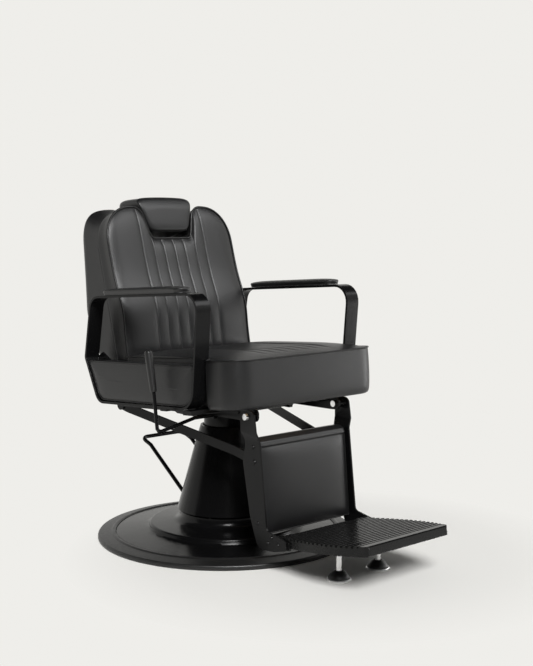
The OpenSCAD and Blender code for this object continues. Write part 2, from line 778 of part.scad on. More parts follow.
// Upholstered rear shell with the bores of the headrest posts
module back_shell() {
    r = in_back(pin_back);
    color(leather)
        difference() {
            on_back()
                rotate([90, 0, 0])
                    mirror([0, 0, 1])
                        padded_flip(shell_cols, [0, 0.05, 0.2, 0.45, 0.7, 0.9, 1], back_lo,
                            function (x) back_hi(x) - 2, shell_face,
                            function (x, s) back_pad_t + gap,
                            [[0, function (x, s) shell_face(x, s) - 4], [0, function (x, s) back_pad_t + 3]],
                            function (p) [p.x, p.y + shell_rise(p), p.z]);
            on_back()
                for (s = [-1, 1])
                    translate([s * post_x, post_t, notch_s - 170])
                        cylinder(h = 200, r = post_d / 2 + gap);
        }
}

// The same pad, drawn for a mirrored frame
module padded_flip(xs, vs, lo, hi, face, back, rings, warp) {
    padded(xs, vs, lo, hi, face, back, rings, warp);
}

heel = in_back(pin_heel);
hinge = in_back(pin_back);

// Steel arms on the sides of the shell, joined by a tie bar under it
module back_frame() {
    arm_pts = rounded([[heel.x + 13, heel.y - 16, 15], [heel.x - 17, heel.y - 14, 15],
        [hinge.x - 16, hinge.y + 4, 12], [hinge.x - 12, 92, 10], [hinge.x + 34, 92, 10],
        [hinge.x + 30, hinge.y - 20, 30]]);
    color(black)
        difference() {
            union() {
                on_back() {
                    for (s = [0, 1])
                        mirror([s, 0, 0]) {
                            side_plate(-side_arm_in - side_arm_t, -side_arm_in, arm_pts);
                            for (p = [[hinge.x + 2, 80], [hinge.x + 22, 80]])
                                bar_x(-side_arm_in - side_arm_t - 2.5, -side_arm_in - side_arm_t + eps, p, 5);
                        }
                    side_plate(-side_arm_in - 1, side_arm_in + 1, rounded([[hinge.x + 2, -22, 3],
                        [hinge.x + 2, -10, 3], [hinge.x + 26, -10, 3], [hinge.x + 26, -22, 3]], 3));
                }
                for (s = [0, 1])
                    mirror([s, 0, 0]) {
                        bar_x(-arm_in - lug_t - 4.5, -side_arm_in - side_arm_t / 2, pin_back, bolt_d / 2);
                        bar_x(-side_arm_in - side_arm_t, -side_arm_in + gap + link_t + 3, pin_heel, bolt_d / 2);
                        bar_x(-side_arm_in + 2 * gap + link_t, -side_arm_in + gap + link_t + 3, pin_heel, 9);
                    }
            }
        }
}

// ---------------------------------------------------------------- headrest

function head_wall(s) = notch_half - 2 + (notch_top - notch_half) * max(0, s - notch_s - 20) / (back_h - 38 - notch_s) - head_clear;
head_lo = notch_s + head_gap;
head_hi = head_lo + head_h;
head_cols = both([0, 20, 40, 55, 64, 70, 74]);
head_k = (head_wall(head_hi) - head_wall(head_lo)) / head_h;

// Wedge-shaped pad that fills the notch
module headrest_pad() {
    w0 = head_wall(head_lo);
    w1 = head_wall(head_hi);
    // cross sections through the depth: [depth, inset]
    slabs = [[0, 14], [-4, 6], [2, 1], [14, 0], [50, 0], [head_t - 28, 1], [head_t - 10, 7], [head_t, 20]];
    ring = [for (a = [0:9:351])
        let (c = cos(a), s = sin(a), k = pow(pow(abs(c), 6) + pow(abs(s), 6), -1 / 6))
        [c * k, s * k]];
    n = len(ring);
    m = len(slabs);
    pt = function (r, d)
        let (z = (head_lo + head_hi) / 2 + r.y * (head_h / 2 - d.y),
             w = w0 + (w1 - w0) * (z - head_lo) / head_h - d.y,
             t = d.x < 20 ? d.x + 9 * pow(max(0, r.y), 3) * (1 - d.y / 30) : d.x)
        [r.x * w, t, z + 5 * pow(max(0, r.y), 2) * (1 - r.x * r.x) + 0.22 * max(0, t) * max(0, r.y)];
    color(leather)
        on_back()
            difference() {
                polyhedron(
                    points = [for (d = slabs) each [for (r = ring) pt(r, d)],
                        [0, -8, (head_lo + head_hi) / 2], [0, head_t + 3, (head_lo + head_hi) / 2]],
                    faces = [
                        for (k = [1:m - 2]) for (i = [0:n - 1]) let (j = (i + 1) % n)
                            each [[k * n + i, (k + 1) * n + i, (k + 1) * n + j], [k * n + i, (k + 1) * n + j, k * n + j]],
                        for (i = [0:n - 1]) let (j = (i + 1) % n)
                            each [[m * n, n + i, n + j], [(m - 1) * n + i, m * n + 1, (m - 1) * n + j]]],
                    convexity = 4);
                for (s = [-1, 1])
                    translate([s * post_x, post_t, head_lo - 20])
                        cylinder(h = 60, r = post_d / 2 + 2 * gap);
            }
}

module headrest_post(left) {
    mirrored(left)
        color(chrome)
            on_back()
                translate([-post_x, post_t, notch_s - 165])
                    cylinder(h = head_lo + 39 - notch_s + 165, r = post_d / 2);
}

// ---------------------------------------------------------------- linkage

flat_front = 96;
flat_rear = 30;
heel_in = side_arm_in - gap - link_t;

// Flat bar that ties the back to the leg rest, cranked outwards to the rear
module link_bar(left) {
    r = link_w / 2;
    d = pin_heel - pin_toe;
    a = atan2(d.y, d.x);
    l = norm(d);
    side = [for (t = [90:15:270]) [r * cos(t), r * sin(t)], for (t = [-90:15:90]) [l + r * cos(t), r * sin(t)]];
    x0 = link_in;
    x1 = heel_in;
    strip = [[-r - 2, x0], [flat_front, x0], [l - flat_rear, x1], [l + r + 2, x1],
        [l + r + 2, x1 + link_t], [l - flat_rear, x1 + link_t], [flat_front, x0 + link_t], [-r - 2, x0 + link_t]];
    mirrored(left)
        color(black)
            translate([0, pin_toe.x, pin_toe.y])
                rotate([a, 0, 0])
                    difference() {
                        intersection() {
                            side_plate(-x1 - link_t - 2, -x0 + 2, side);
                            translate([0, 0, -50])
                                linear_extrude(100)
                                    polygon([for (p = strip) [-p.y, p.x]]);
                        }
                        bar_x(-x0 - 20, -x0 + 20, [0, 0], bolt_d / 2 + 0.4);
                        bar_x(-x1 - 20, -x1 + 20, [l, 0], bolt_d / 2 + fit);
                    }
}

// ---------------------------------------------------------------- leg rest

// Slope of the shins: the bolts of the plates lie on this line
shin_top = [-315.5, 331];
shin_low = [-334, 127];
shin_lean = atan2(shin_top.x - shin_low.x, shin_top.y - shin_low.y);
toe_bolts = [[-374, 80], [-412, 82], [-388, 98]];
leg_pts = rounded([[-276, 430, 16], [-328, 430, 18], [-340, 352, 40], [-368, 112, 14], [-442, 98, 8],
    [-448, 74, 9], [-400, 62, 26], [-334, 57, 28], [-303, 140, 80], [-274, 286, 22], [-284, 336, 30],
    [-276, 372, 20]]);

// Side plate of the leg rest, stepped outwards at its ear
module leg_plate(left) {
    z0 = 346;
    z1 = 372;
    strip = [[ear_in, 450], [ear_in + leg_t, 450], [ear_in + leg_t, z1 - 1], [leg_in + leg_t, z0],
        [leg_in + leg_t, 30], [leg_in, 30], [leg_in, z0 + 1], [ear_in, z1]];
    mirrored(left)
        color(black)
            difference() {
                union() {
                    intersection() {
                        side_plate(-ear_in - leg_t - 1, -leg_in + 1, leg_pts);
                        front_plate(-460, -250, [for (p = strip) [-p.x, p.y]]);
                    }
                    for (p = concat(toe_bolts, [shin_top, shin_low]))
                        translate([-leg_in - leg_t + eps, p.x, p.y])
                            rotate([0, -90, 0])
                                cylinder(h = 2.6, r1 = 5.5, r2 = 4);
                }
                bar_x(-ear_in - 20, -ear_in + 10, pin_leg, bolt_d / 2 + fit);
                bar_x(-leg_in - 20, -leg_in + 10, pin_toe, bolt_d / 2 - 1);
            }
}

// Shouldered bolt on which the front eye of a link turns
module link_bolt(left) {
    mirrored(left)
        color(black) {
            bar_x(-leg_in - leg_t - 1, -link_in, pin_toe, bolt_d / 2 - 1);
            translate([-leg_in - leg_t, pin_toe.x, pin_toe.y])
                rotate([0, -90, 0])
                    cylinder(h = 3.4, r1 = 7, r2 = 5);
        }
}

// Frame of the calf and foot parts: Z runs up the shins, Y to the rear
module on_shin() {
    translate([0, shin_low.x, shin_low.y])
        rotate([-shin_lean, 0, 0])
            children();
}
shin_l = norm(shin_top - shin_low);
board_half = leg_in - gap;

// Board of the leg rest, necked where the links pass
module calf_board() {
    color(black)
        on_shin()
            difference() {
                translate([-calf_half, -5, -22])
                    cube([2 * calf_half, 10, shin_l + 34]);
                translate([-200, -50, shin_l + 12])
                    cube([400, 100, 50]);
            }
    color(black)
        on_shin()
            for (s = [-1, 1])
                for (z = [0, shin_l])
                    translate([s > 0 ? calf_half - eps : -board_half, -5, z - 11])
                        cube([board_half - calf_half + eps, 10, z > 0 ? 22 : 26]);
}

calf_lo = -30;
calf_hi = shin_l - 3;
calf_front = 20;
calf_cols = both([0, 50, 100, 130, 148, 156, calf_half]);

// Padded face of the leg rest
module calf_pad() {
    m = (calf_lo + calf_hi) / 2;
    h = (calf_hi - calf_lo) / 2;
    color(leather)
        on_shin()
            rotate([90, 0, 0])
                padded(calf_cols, [0, 0.04, 0.12, 0.3, 0.5, 0.7, 0.88, 0.96, 1],
                    function (x) calf_lo, function (x) calf_hi,
                    function (x, s) let (u = abs(x) / calf_half, v = abs(s - m) / h)
                        calf_front - 5 + 9 * (1 - pow(u, 6)) * (1 - pow(v, 8)),
                    function (x, s) 5 + gap,
                    [[-1, function (x, s) calf_front - 9], [0, function (x, s) 7]]);
}

// Roll over the top edge of the board
module calf_roll() {
    z = calf_hi + 1 + gap;
    color(leather)
        on_shin()
            side_plate(-calf_half, calf_half, rounded([[-calf_front - 1, z, 3], [-calf_front + 3, z + 14, 6],
                [0, z + 24, 7], [18, z + 24, 5], [18, z + 15 + gap, 1], [-6, z + 15 + gap, 1], [-6, z, 1]], 5));
}

// ---------------------------------------------------------------- footplate

foot_rear = [-386, 93];
foot_front = [-716, 134];
foot_a = atan2(foot_front.y - foot_rear.y, foot_rear.x - foot_front.x);
foot_l = norm(foot_front - foot_rear);
foot_t = 21;
front_half = 154;
border = 26;
rib_n = floor((foot_l - 2 * border + 10) / rib_pitch);
stud_r = 7.5;
level_pin = [-542, 0];
level_d = (foot_rear.x - level_pin.x);

// Half width of the footplate at a distance d from its rear edge
function foot_w(d) =
    let (u = d / foot_l, w = max(0, d - 62) / (foot_l - 62))
    foot_half + (front_half - foot_half) * u + foot_bulge * 4 * w * (1 - w) * (0.75 + 0.3 * w) * 1.15;

module on_foot() {
    translate([0, foot_rear.x, foot_rear.y])
        rotate([-foot_a, 0, 0])
            mirror([0, 1, 0])
                children();
}

// Cast footplate: skirt, ribbed tread, and bosses for the levelling feet
module footplate() {
    n = 14;
    r = 14;
    side_l = foot_l - r;
    right = concat([for (i = [0:n]) [foot_w(side_l * i / n), side_l * i / n]],
        [for (a = [15:15:90]) [foot_w(side_l) - r + r * cos(a), side_l + r * sin(a)]]);
    outline = concat(right, [for (i = [len(right) - 1:-1:0]) [-right[i].x, right[i].y]]);
    wall = [for (p = outline) [p.x * (1 - 6 / foot_half), 7 + p.y * (foot_l - 14) / foot_l]];
    top = [[0, 0], for (i = [0:rib_n - 1]) let (y = border - 4 + i * rib_pitch)
        each [[y, 0], [y + 2, rib_h], [y + rib_pitch * 0.55, rib_h], [y + rib_pitch * 0.55 + 2, 0]],
        [foot_l - border, 0], [foot_l - border + 3, rib_h], [foot_l - 3, rib_h], [foot_l, rib_h - 3]];
    color(black)
        difference() {
            union() {
                on_foot()
                    difference() {
                        intersection() {
                            translate([0, 0, -foot_t - 5])
                                linear_extrude(60)
                                    polygon(outline);
                            side_plate(-260, 260, concat(top, [[foot_l, -foot_t + 2], [foot_l - 3, -foot_t], [0, -foot_t]]));
                        }
                        translate([0, 0, -foot_t - 10])
                            linear_extrude(foot_t + 4)
                                polygon(wall);
                    }
                for (s = [-1, 1])
                    translate([s * level_half, level_pin.x, level_seat])
                        cylinder(h = 28, r = 13);
                on_foot()
                    for (s = [0, 1])
                        mirror([s, 0, 0])
                            translate([-leg_in + gap, -2, -26])
                                cube([6, 66, 21]);
            }
            for (s = [-1, 1])
                translate([s * level_half, level_pin.x, 40])
                    cylinder(h = 66, r = stud_r + fit);
        }
}

level_seat = 82;
// The stud ends 7 mm under the tread, so that it can be screwed up
stud_top = 99;

// Chromed levelling stud with the rim of its foot
module level_foot(left) {
    mirrored(left)
        color(chrome)
            translate([-level_half, level_pin.x, 0])
                rotate_extrude($fn = 64)
                    polygon([[0, 0], [level_r - 1, 0], [level_r, 1], [level_r, 3.4], [level_r - 1.5, 5], [10, 5],
                        [10, 19], [stud_r, 19], [stud_r, stud_top - 1.5], [stud_r - 1.5, stud_top], [0, stud_top]]);
}

// Black dome that covers the rim
module level_cap(left) {
    mirrored(left)
        color(rubber)
            translate([-level_half, level_pin.x, 0])
                rotate_extrude($fn = 64)
                    polygon([[10 + gap, 5 + gap], [level_r - 3, 5 + gap], [level_r - 3.5, 8],
                        [level_r - 8, 14.5], [level_r - 14.5, 21], [13, 24.5], [10 + gap, 25]]);
}

// ---------------------------------------------------------------- hand lever

lever_pin = [-116, 389];
lever_out = 340;
lever_foot = [-lever_out, -116, 364];
grip_foot = [-lever_out, -100, 473];
grip_dir = ([-lever_out, -76.5, 585.7] - grip_foot) / norm([-lever_out, -76.5, 585.7] - grip_foot);

// Bent rod of the recline lever on its cross shaft
module hand_lever() {
    r = lever_rod / 2;
    u = (grip_foot - lever_foot) / norm(grip_foot - lever_foot);
    knee = lever_foot + u * 10;
    turn = lever_foot + [14, 0, 1.5];
    bend = grip_foot - grip_dir * 6;
    inner_end = [-212, lever_pin.x, lever_pin.y];
    color(black) {
        bar_x(-212, 160, lever_pin, r);
        rod(inner_end, turn, r);
        rod(turn, lever_foot + [4, 0, 3], r);
        rod(lever_foot + [4, 0, 3], knee, r);
        rod(knee, bend, r);
        rod(bend, grip_foot + grip_dir * (grip_l - 10), r);
    }
}

// Moulded grip, wider at its top
module lever_grip() {
    color(rubber)
        translate(grip_foot)
            rotate([-atan2(grip_dir.y, grip_dir.z), 0, 0])
                rotate_extrude($fn = 48)
                    polygon([[lever_rod / 2 + fit, 0], [8, 0], [9, 2], [10, grip_l * 0.3], [11, grip_l * 0.7],
                        for (a = [0:15:75]) [11 * cos(a), grip_l - 8 + 8 * sin(a)],
                        [0, grip_l], [0, grip_l - 9.5], [lever_rod / 2 + fit, grip_l - 9.5]]);
}

// ---------------------------------------------------------------- nodes

floor_plate();
base_hub();
base_cover();
trim_ring();
pump_cylinder();
shroud();
pedal();
ram();
translate([0, 0, cover_z]) ram_cover();
underframe();
leg_bracket(false);  // leg_bracket_right
leg_bracket(true);  // leg_bracket_left
leg_bolt(false);  // leg_bolt_right
leg_bolt(true);  // leg_bolt_left
seat_board();
seat_cushion();
arm_frame(false);  // arm_frame_right
arm_frame(true);  // arm_frame_left
side_panel(false);  // side_panel_right
side_panel(true);  // side_panel_left
arm_pad(false);  // arm_pad_right
arm_pad(true);  // arm_pad_left
back_frame();
back_cushion();
back_shell();
headrest_post(false);  // headrest_post_right
headrest_post(true);  // headrest_post_left
headrest_pad();
link_bar(false);  // link_right
link_bar(true);  // link_left
leg_plate(false);  // leg_plate_right
leg_plate(true);  // leg_plate_left
link_bolt(false);  // link_bolt_right
link_bolt(true);  // link_bolt_left
calf_board();
calf_pad();
calf_roll();
footplate();
level_foot(false);  // level_foot_right
level_foot(true);  // level_foot_left
level_cap(false);  // level_cap_right
level_cap(true);  // level_cap_left
hand_lever();
lever_grip();
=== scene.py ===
import bpy
import bmesh
import math
import numpy as np
from mathutils import Matrix, Vector


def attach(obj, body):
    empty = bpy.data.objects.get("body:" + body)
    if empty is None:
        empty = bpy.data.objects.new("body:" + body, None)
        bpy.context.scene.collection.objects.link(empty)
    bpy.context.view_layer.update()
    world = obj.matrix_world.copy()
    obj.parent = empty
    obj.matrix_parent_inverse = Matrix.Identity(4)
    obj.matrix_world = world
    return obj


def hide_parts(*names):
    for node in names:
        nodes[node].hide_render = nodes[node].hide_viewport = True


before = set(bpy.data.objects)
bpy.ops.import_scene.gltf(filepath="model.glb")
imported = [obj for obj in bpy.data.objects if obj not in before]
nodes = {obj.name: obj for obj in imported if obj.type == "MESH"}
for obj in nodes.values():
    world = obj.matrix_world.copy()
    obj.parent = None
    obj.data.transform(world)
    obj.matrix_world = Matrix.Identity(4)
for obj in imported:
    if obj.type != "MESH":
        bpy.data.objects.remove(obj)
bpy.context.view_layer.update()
scene = bpy.context.scene

# ------------------------------------------------------------------ the studio
# A pale floor and a curved paper sweep, one broad key light from the front
# right, and three banks that add sheen only. The camera stands at the right.
FRAME_H, FOCAL, SENSOR = 666, 1180.2, 36
camera = bpy.data.objects.new("camera", bpy.data.cameras.new("camera"))
scene.collection.objects.link(camera)
yaw, pitch = math.radians(-42.242), math.radians(5.782)
ahead = Vector((-math.sin(yaw) * math.cos(pitch), math.cos(yaw) * math.cos(pitch), -math.sin(pitch)))
side = ahead.cross(Vector((0, 0, 1))).normalized()
turn = Matrix((side, side.cross(ahead), -ahead)).transposed().to_4x4()
turn.translation = Vector((-2.2345, -2.6362, 0.9473))
camera.matrix_world = turn
camera.data.sensor_width = SENSOR
camera.data.lens = FOCAL * SENSOR / FRAME_H
camera.data.shift_x = 0.75 / FRAME_H
camera.data.shift_y = 1.6 / FRAME_H
camera.data.clip_end = 60
scene.camera = camera
scene.view_settings.view_transform = "Standard"


def new_object(name, data):
    made = bpy.data.objects.new(name, data)
    scene.collection.objects.link(made)
    return made


class Socket:
    """A shader socket that turns Python arithmetic into Math nodes."""

    def __init__(self, tree, out):
        self.tree, self.out = tree, out

    def maths(self, operation, *others):
        node = self.tree.nodes.new("ShaderNodeMath")
        node.operation = operation
        for slot, value in zip(node.inputs, (self, *others)):
            if isinstance(value, Socket):
                self.tree.links.new(value.out, slot)
            else:
                slot.default_value = value
        return Socket(self.tree, node.outputs[0])

    def __add__(self, other):
        return self.maths("ADD", other)

    def __mul__(self, other):
        return self.maths("MULTIPLY", other)

    def __rsub__(self, other):
        return (self * -1) + other

    def __sub__(self, other):
        return self.maths("SUBTRACT", other)

    __radd__, __rmul__ = __add__, __mul__

    def clamp(self, low, high):
        return self.maths("MAXIMUM", low).maths("MINIMUM", high)


class Finish:
    """A material and the one way its nodes are made."""

    def __init__(self, name, **sockets):
        self.material = bpy.data.materials.new(name)
        self.material.use_nodes = True
        self.tree = self.material.node_tree
        self.shader = self.tree.nodes["Principled BSDF"]
        for socket, value in sockets.items():
            self.set(socket.replace("_", " "), value)

    def set(self, socket, value):
        slot = self.shader.inputs[socket]
        if isinstance(value, Socket):
            self.tree.links.new(value.out, slot)
        else:
            slot.default_value = value

    def node(self, kind, out=0, settings=None, **sockets):
        made = self.tree.nodes.new("ShaderNode" + kind)
        for key, value in (settings or {}).items():
            if key == "stops":
                ramp = made.color_ramp
                while len(ramp.elements) < len(value):
                    ramp.elements.new(1)
                for stop, (place, shade) in zip(ramp.elements, value):
                    stop.position, stop.color = place, (*shade, 1) if len(shade) == 3 else shade
            else:
                setattr(made, key, value)
        for key, value in sockets.items():
            name = key.replace("_", " ")
            numbered = name.startswith("in") and name[2:].isdigit()
            slot = made.inputs[int(name[2:]) if numbered else name]
            if isinstance(value, Socket):
                self.tree.links.new(value.out, slot)
            else:
                slot.default_value = value
        return Socket(self.tree, made.outputs[out])

    def place(self):
        return self.node("TexCoord", out="Object")

    def noise(self, scale, detail=2.0, where=None):
        return self.node("TexNoise", Vector=where or self.place(), Scale=scale, Detail=detail)

    def mix(self, amount, dark, light):
        return self.node("Mix", out=2, settings={"data_type": "RGBA"}, in0=amount, in6=dark, in7=light)

    def bump(self, height, depth, strength=1.0):
        self.set("Normal", self.node("Bump", Height=height, Distance=depth, Strength=strength))


def shade(lit):
    """Linear colour with alpha from a grey or an RGB triple."""
    return (lit, lit, lit, 1) if isinstance(lit, (int, float)) else (*lit, 1)


# Away from the chair the floor fades into an even glow of the paper's colour,
# which every kind of ray sees, so the shadow ends there.
paper = (0.862, 0.854, 0.823)
FADE_MIDDLE, FADE_FROM, FADE_RATE = (0.1, -0.33, 0), 0.5, 4.0
ground = bmesh.new()
bmesh.ops.create_circle(ground, cap_ends=True, segments=96, radius=14)
floor_mesh = bpy.data.meshes.new("floor")
ground.to_mesh(floor_mesh)
ground.free()
floor = new_object("floor", floor_mesh)
floor_finish = Finish("floor_paper", Roughness=1.0, Base_Color=(0.94, 0.932, 0.9, 1))
floor_finish.shader.inputs["Specular IOR Level"].default_value = 0
flat = floor_finish.node("VectorMath", settings={"operation": "SUBTRACT"},
                         in0=floor_finish.place(), in1=FADE_MIDDLE)
reach = floor_finish.node("VectorMath", out="Value", settings={"operation": "LENGTH"}, in0=flat)
far_off = ((reach - FADE_FROM) * FADE_RATE).clamp(0.0, 1.0)
blank = floor_finish.tree.nodes.new("ShaderNodeEmission")
blank.inputs["Color"].default_value = shade(paper)
faded = floor_finish.tree.nodes.new("ShaderNodeMixShader")
floor_finish.tree.links.new(far_off.out, faded.inputs[0])
floor_finish.tree.links.new(floor_finish.shader.outputs[0], faded.inputs[1])
floor_finish.tree.links.new(blank.outputs[0], faded.inputs[2])
floor_finish.tree.links.new(faded.outputs[0], floor_finish.tree.nodes["Material Output"].inputs[0])
floor_mesh.materials.append(floor_finish.material)

world = bpy.data.worlds.new("studio")
world.use_nodes = True
scene.world = world
air = world.node_tree
backing = air.nodes["Background"]
backing.inputs["Color"].default_value = (1.0, 0.995, 0.98, 1)
backing.inputs["Strength"].default_value = 0.18
shown = air.nodes.new("ShaderNodeBackground")
shown.inputs["Color"].default_value = shade(paper)
shown.inputs["Strength"].default_value = 1
view_path = air.nodes.new("ShaderNodeLightPath")
chosen = air.nodes.new("ShaderNodeMixShader")
air.links.new(view_path.outputs["Is Camera Ray"], chosen.inputs[0])
air.links.new(shown.outputs[0], chosen.inputs[2])
air.links.new(chosen.outputs[0], air.nodes["World Output"].inputs[0])

# Gloss sees a nearly dark room, and the paper only where the sweep stands
seen_by_gloss = air.nodes.new("ShaderNodeBackground")
seen_by_gloss.inputs["Color"].default_value = shade(0.9)
seen_by_gloss.inputs["Strength"].default_value = 0.012
by_kind = air.nodes.new("ShaderNodeMixShader")
air.links.new(view_path.outputs["Is Glossy Ray"], by_kind.inputs[0])
air.links.new(backing.outputs[0], by_kind.inputs[1])
air.links.new(seen_by_gloss.outputs[0], by_kind.inputs[2])
air.links.new(by_kind.outputs[0], chosen.inputs[1])


def lamp_at(name, kind, spot, aim, energy, size):
    lamp = bpy.data.lights.new(name, kind)
    lamp.energy = energy
    if kind == "SUN":
        lamp.angle = math.radians(size)
    else:
        lamp.shape = "RECTANGLE"
        lamp.size, lamp.size_y = size
    made = new_object(name, lamp)
    made.location = spot
    made.rotation_euler = (Vector(aim) - Vector(spot)).to_track_quat("-Z", "Y").to_euler()
    return made


lamp_at("key", "SUN", (-1.7, -3.2, 3.2), (0, 0, 0), 3.2, 24)
for bank in (lamp_at("low_bank", "AREA", (1.45, -0.95, 0.5), (0.2, -0.36, 0.5), 4, (0.35, 0.5)),
             lamp_at("high_bank", "SUN", (1.9, -2.5, 2.5), (0, 0, 0), 1.8, 42),
             lamp_at("rear_bank", "SUN", (-2.5, 3.4, 1.0), (0, 0, 0), 0.45, 46)):
    bank.visible_diffuse = False

# The sweep: gloss sees it as a bright wall, and other rays pass it
WALL_R, WALL_H, WALL_MIDDLE, WALL_ARC, WALL_PARTS = 6.5, 4.5, 47.8, 210, 24
wall_points, wall_faces = [], []
for k in range(WALL_PARTS + 1):
    a = math.radians(WALL_MIDDLE - WALL_ARC / 2 + WALL_ARC * k / WALL_PARTS)
    for height in (0.0, WALL_H):
        wall_points.append((WALL_R * math.cos(a), WALL_R * math.sin(a), height))
    if k:
        wall_faces.append((2 * k - 2, 2 * k, 2 * k + 1, 2 * k - 1))
wall_mesh = bpy.data.meshes.new("sweep")
wall_mesh.from_pydata(wall_points, [], wall_faces)
sweep = new_object("sweep", wall_mesh)
sweep_finish = Finish("sweep_paper")
paper_tree = sweep_finish.tree
rays = paper_tree.nodes.new("ShaderNodeLightPath")
clear = paper_tree.nodes.new("ShaderNodeBsdfTransparent")
glow = paper_tree.nodes.new("ShaderNodeEmission")
glow.inputs["Color"].default_value = shade(paper)
glow.inputs["Strength"].default_value = 0.95
by_ray = paper_tree.nodes.new("ShaderNodeMixShader")
paper_tree.links.new(rays.outputs["Is Glossy Ray"], by_ray.inputs[0])
paper_tree.links.new(clear.outputs[0], by_ray.inputs[1])
paper_tree.links.new(glow.outputs[0], by_ray.inputs[2])
paper_tree.links.new(by_ray.outputs[0], paper_tree.nodes["Material Output"].inputs[0])
wall_mesh.materials.append(sweep_finish.material)

# ------------------------------------------------------------------ black powder coat
# Steel and cast parts: base cover, shroud, arms, linkage and footplate carry a
# fine satin powder coat, sprayed and baked, with a slight orange peel.
coat = Finish("black_powder_coat", Metallic=0.0, Base_Color=shade(0.018))
cloudy = coat.noise(6.0, 3.0)
coat.set("Base Color", coat.mix(cloudy, shade((0.003, 0.003, 0.0032)), shade((0.006, 0.006, 0.0063))))
coat.set("Roughness", (cloudy * 0.1 + coat.noise(90.0) * 0.08 + 0.13).clamp(0.12, 0.5))
coat.bump(coat.noise(520.0, 3.0), 0.0002, 0.22)
coat.shader.inputs["Specular IOR Level"].default_value = 0.17

casting = Finish("black_casting", Base_Color=shade(0.02))
sandy = casting.noise(850.0, 2.0)
casting.set("Base Color", casting.mix(casting.noise(9.0), shade(0.004), shade(0.007)))
casting.set("Roughness", (casting.noise(60.0) * 0.12 + 0.22).clamp(0.18, 0.5))
casting.bump(sandy, 0.0001, 0.04)
casting.shader.inputs["Specular IOR Level"].default_value = 0.24

steel_nodes = ["floor_plate", "base_hub", "base_cover", "pump_cylinder", "shroud", "pedal", "ram_cover",
               "underframe", "leg_bracket_right", "leg_bracket_left", "arm_frame_right", "arm_frame_left",
               "back_frame", "link_right", "link_left", "leg_plate_right", "leg_plate_left",
               "link_bolt_right", "link_bolt_left", "hand_lever"]


def dress(names, finish):
    for name in names:
        mesh = nodes[name].data
        mesh.materials.clear()
        mesh.materials.append(finish.material)


def coated(name, body, finish, broken=0.0008, move=None):
    """Stands for a cut, bent or cast node: bends shade smooth and sheared edges are broken."""
    made = new_object(name + "_coated", nodes[name].data.copy())
    mesh = made.data
    joined = bmesh.new()
    joined.from_mesh(mesh)
    bmesh.ops.remove_doubles(joined, verts=joined.verts, dist=0.000002)
    bmesh.ops.dissolve_limit(joined, angle_limit=math.radians(0.5), verts=joined.verts, edges=joined.edges)
    joined.to_mesh(mesh)
    joined.free()
    mesh.materials.clear()
    mesh.materials.append(finish.material)
    if move:
        for vertex in mesh.vertices:
            vertex.co = move(vertex.co)
    mesh.polygons.foreach_set("use_smooth", [True] * len(mesh.polygons))
    mesh.set_sharp_from_angle(angle=math.radians(32))
    if broken:
        edge = made.modifiers.new("broken_edge", "BEVEL")
        edge.width, edge.segments, edge.limit_method = broken, 2, "ANGLE"
        edge.angle_limit = math.radians(50)
    even = made.modifiers.new("even_shading", "WEIGHTED_NORMAL")
    even.keep_sharp = True
    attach(made, body)
    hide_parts(name)
    return made


dress(steel_nodes, coat)
for hand in ("right", "left"):
    coated("arm_frame_" + hand, "lift", coat, 0.0013)
    coated("leg_bracket_" + hand, "lift", coat)
    coated("leg_plate_" + hand, "legrest", coat)
    coated("link_" + hand, "link_" + hand, coat)
for name, body in (("base_cover", "base"), ("shroud", "swivel"), ("pedal", "pedal"),
                   ("hand_lever", "hand_lever"), ("underframe", "lift")):
    coated(name, body, coat, 0)

# The grooves of the tread get a darker, duller coat, painted shade in the valleys between the ribs; depths are
# in mm under the ribs
GROOVE_TOP, GROOVE_FOOT = 1, 5.8
groove_coat = Finish("tread_groove_coat", Base_Color=shade(0.002))
groove_coat.set("Roughness", (groove_coat.noise(80.0) * 0.2 + 0.7).clamp(0.6, 0.95))
groove_coat.shader.inputs["Specular IOR Level"].default_value = 0.06
tread = coated("footplate", "legrest", casting, 0).data
tread.materials.append(groove_coat.material)
flats = [f for f in tread.polygons if f.normal.z > 0.8 and abs(f.normal.x) < 0.05]
tread_up = sum((f.normal * f.area for f in flats), Vector()).normalized()
crest = max(f.center.dot(tread_up) for f in flats if f.normal.dot(tread_up) > 0.99)
# Faces lying between these depths under the crest take the painted groove shade
for f in tread.polygons:
    under = (crest - f.center.dot(tread_up)) / 0.001
    if GROOVE_TOP < under < GROOVE_FOOT and abs(f.normal.x) < 0.3:
        f.material_index = 1

# ------------------------------------------------------------------ chrome and rubber
# Ram, pivot bolts, headrest posts and levelling studs are plated; the trim
# ring, caps and grip are moulded in black rubber with a faint sheen.
plate = Finish("bright_chrome", Metallic=1.0, Base_Color=shade(0.82))
plate.set("Roughness", (plate.noise(40.0, 3.0) * 0.1 + 0.05).clamp(0.04, 0.3))
plate.bump(plate.noise(300.0), 0.00005, 0.1)
dress(["ram", "leg_bolt_right", "leg_bolt_left", "headrest_post_right", "headrest_post_left"], plate)

satin = Finish("satin_chrome", Metallic=1.0, Base_Color=shade(0.85))
satin.set("Roughness", (satin.noise(60.0, 3.0) * 0.1 + 0.33).clamp(0.3, 0.5))
satin.bump(satin.noise(300.0), 0.00005, 0.1)
dress(["level_foot_right", "level_foot_left"], satin)

moulded = Finish("black_rubber", Base_Color=shade(0.02))
moulded.set("Base Color", moulded.mix(moulded.noise(12.0), shade(0.008), shade(0.014)))
moulded.set("Roughness", (moulded.noise(150.0) * 0.2 + 0.3).clamp(0.25, 0.7))
moulded.bump(moulded.noise(1400.0, 2.0), 0.0002, 0.2)
dress(["trim_ring", "level_cap_right", "level_cap_left", "lever_grip", "arm_pad_right", "arm_pad_left"],
      moulded)

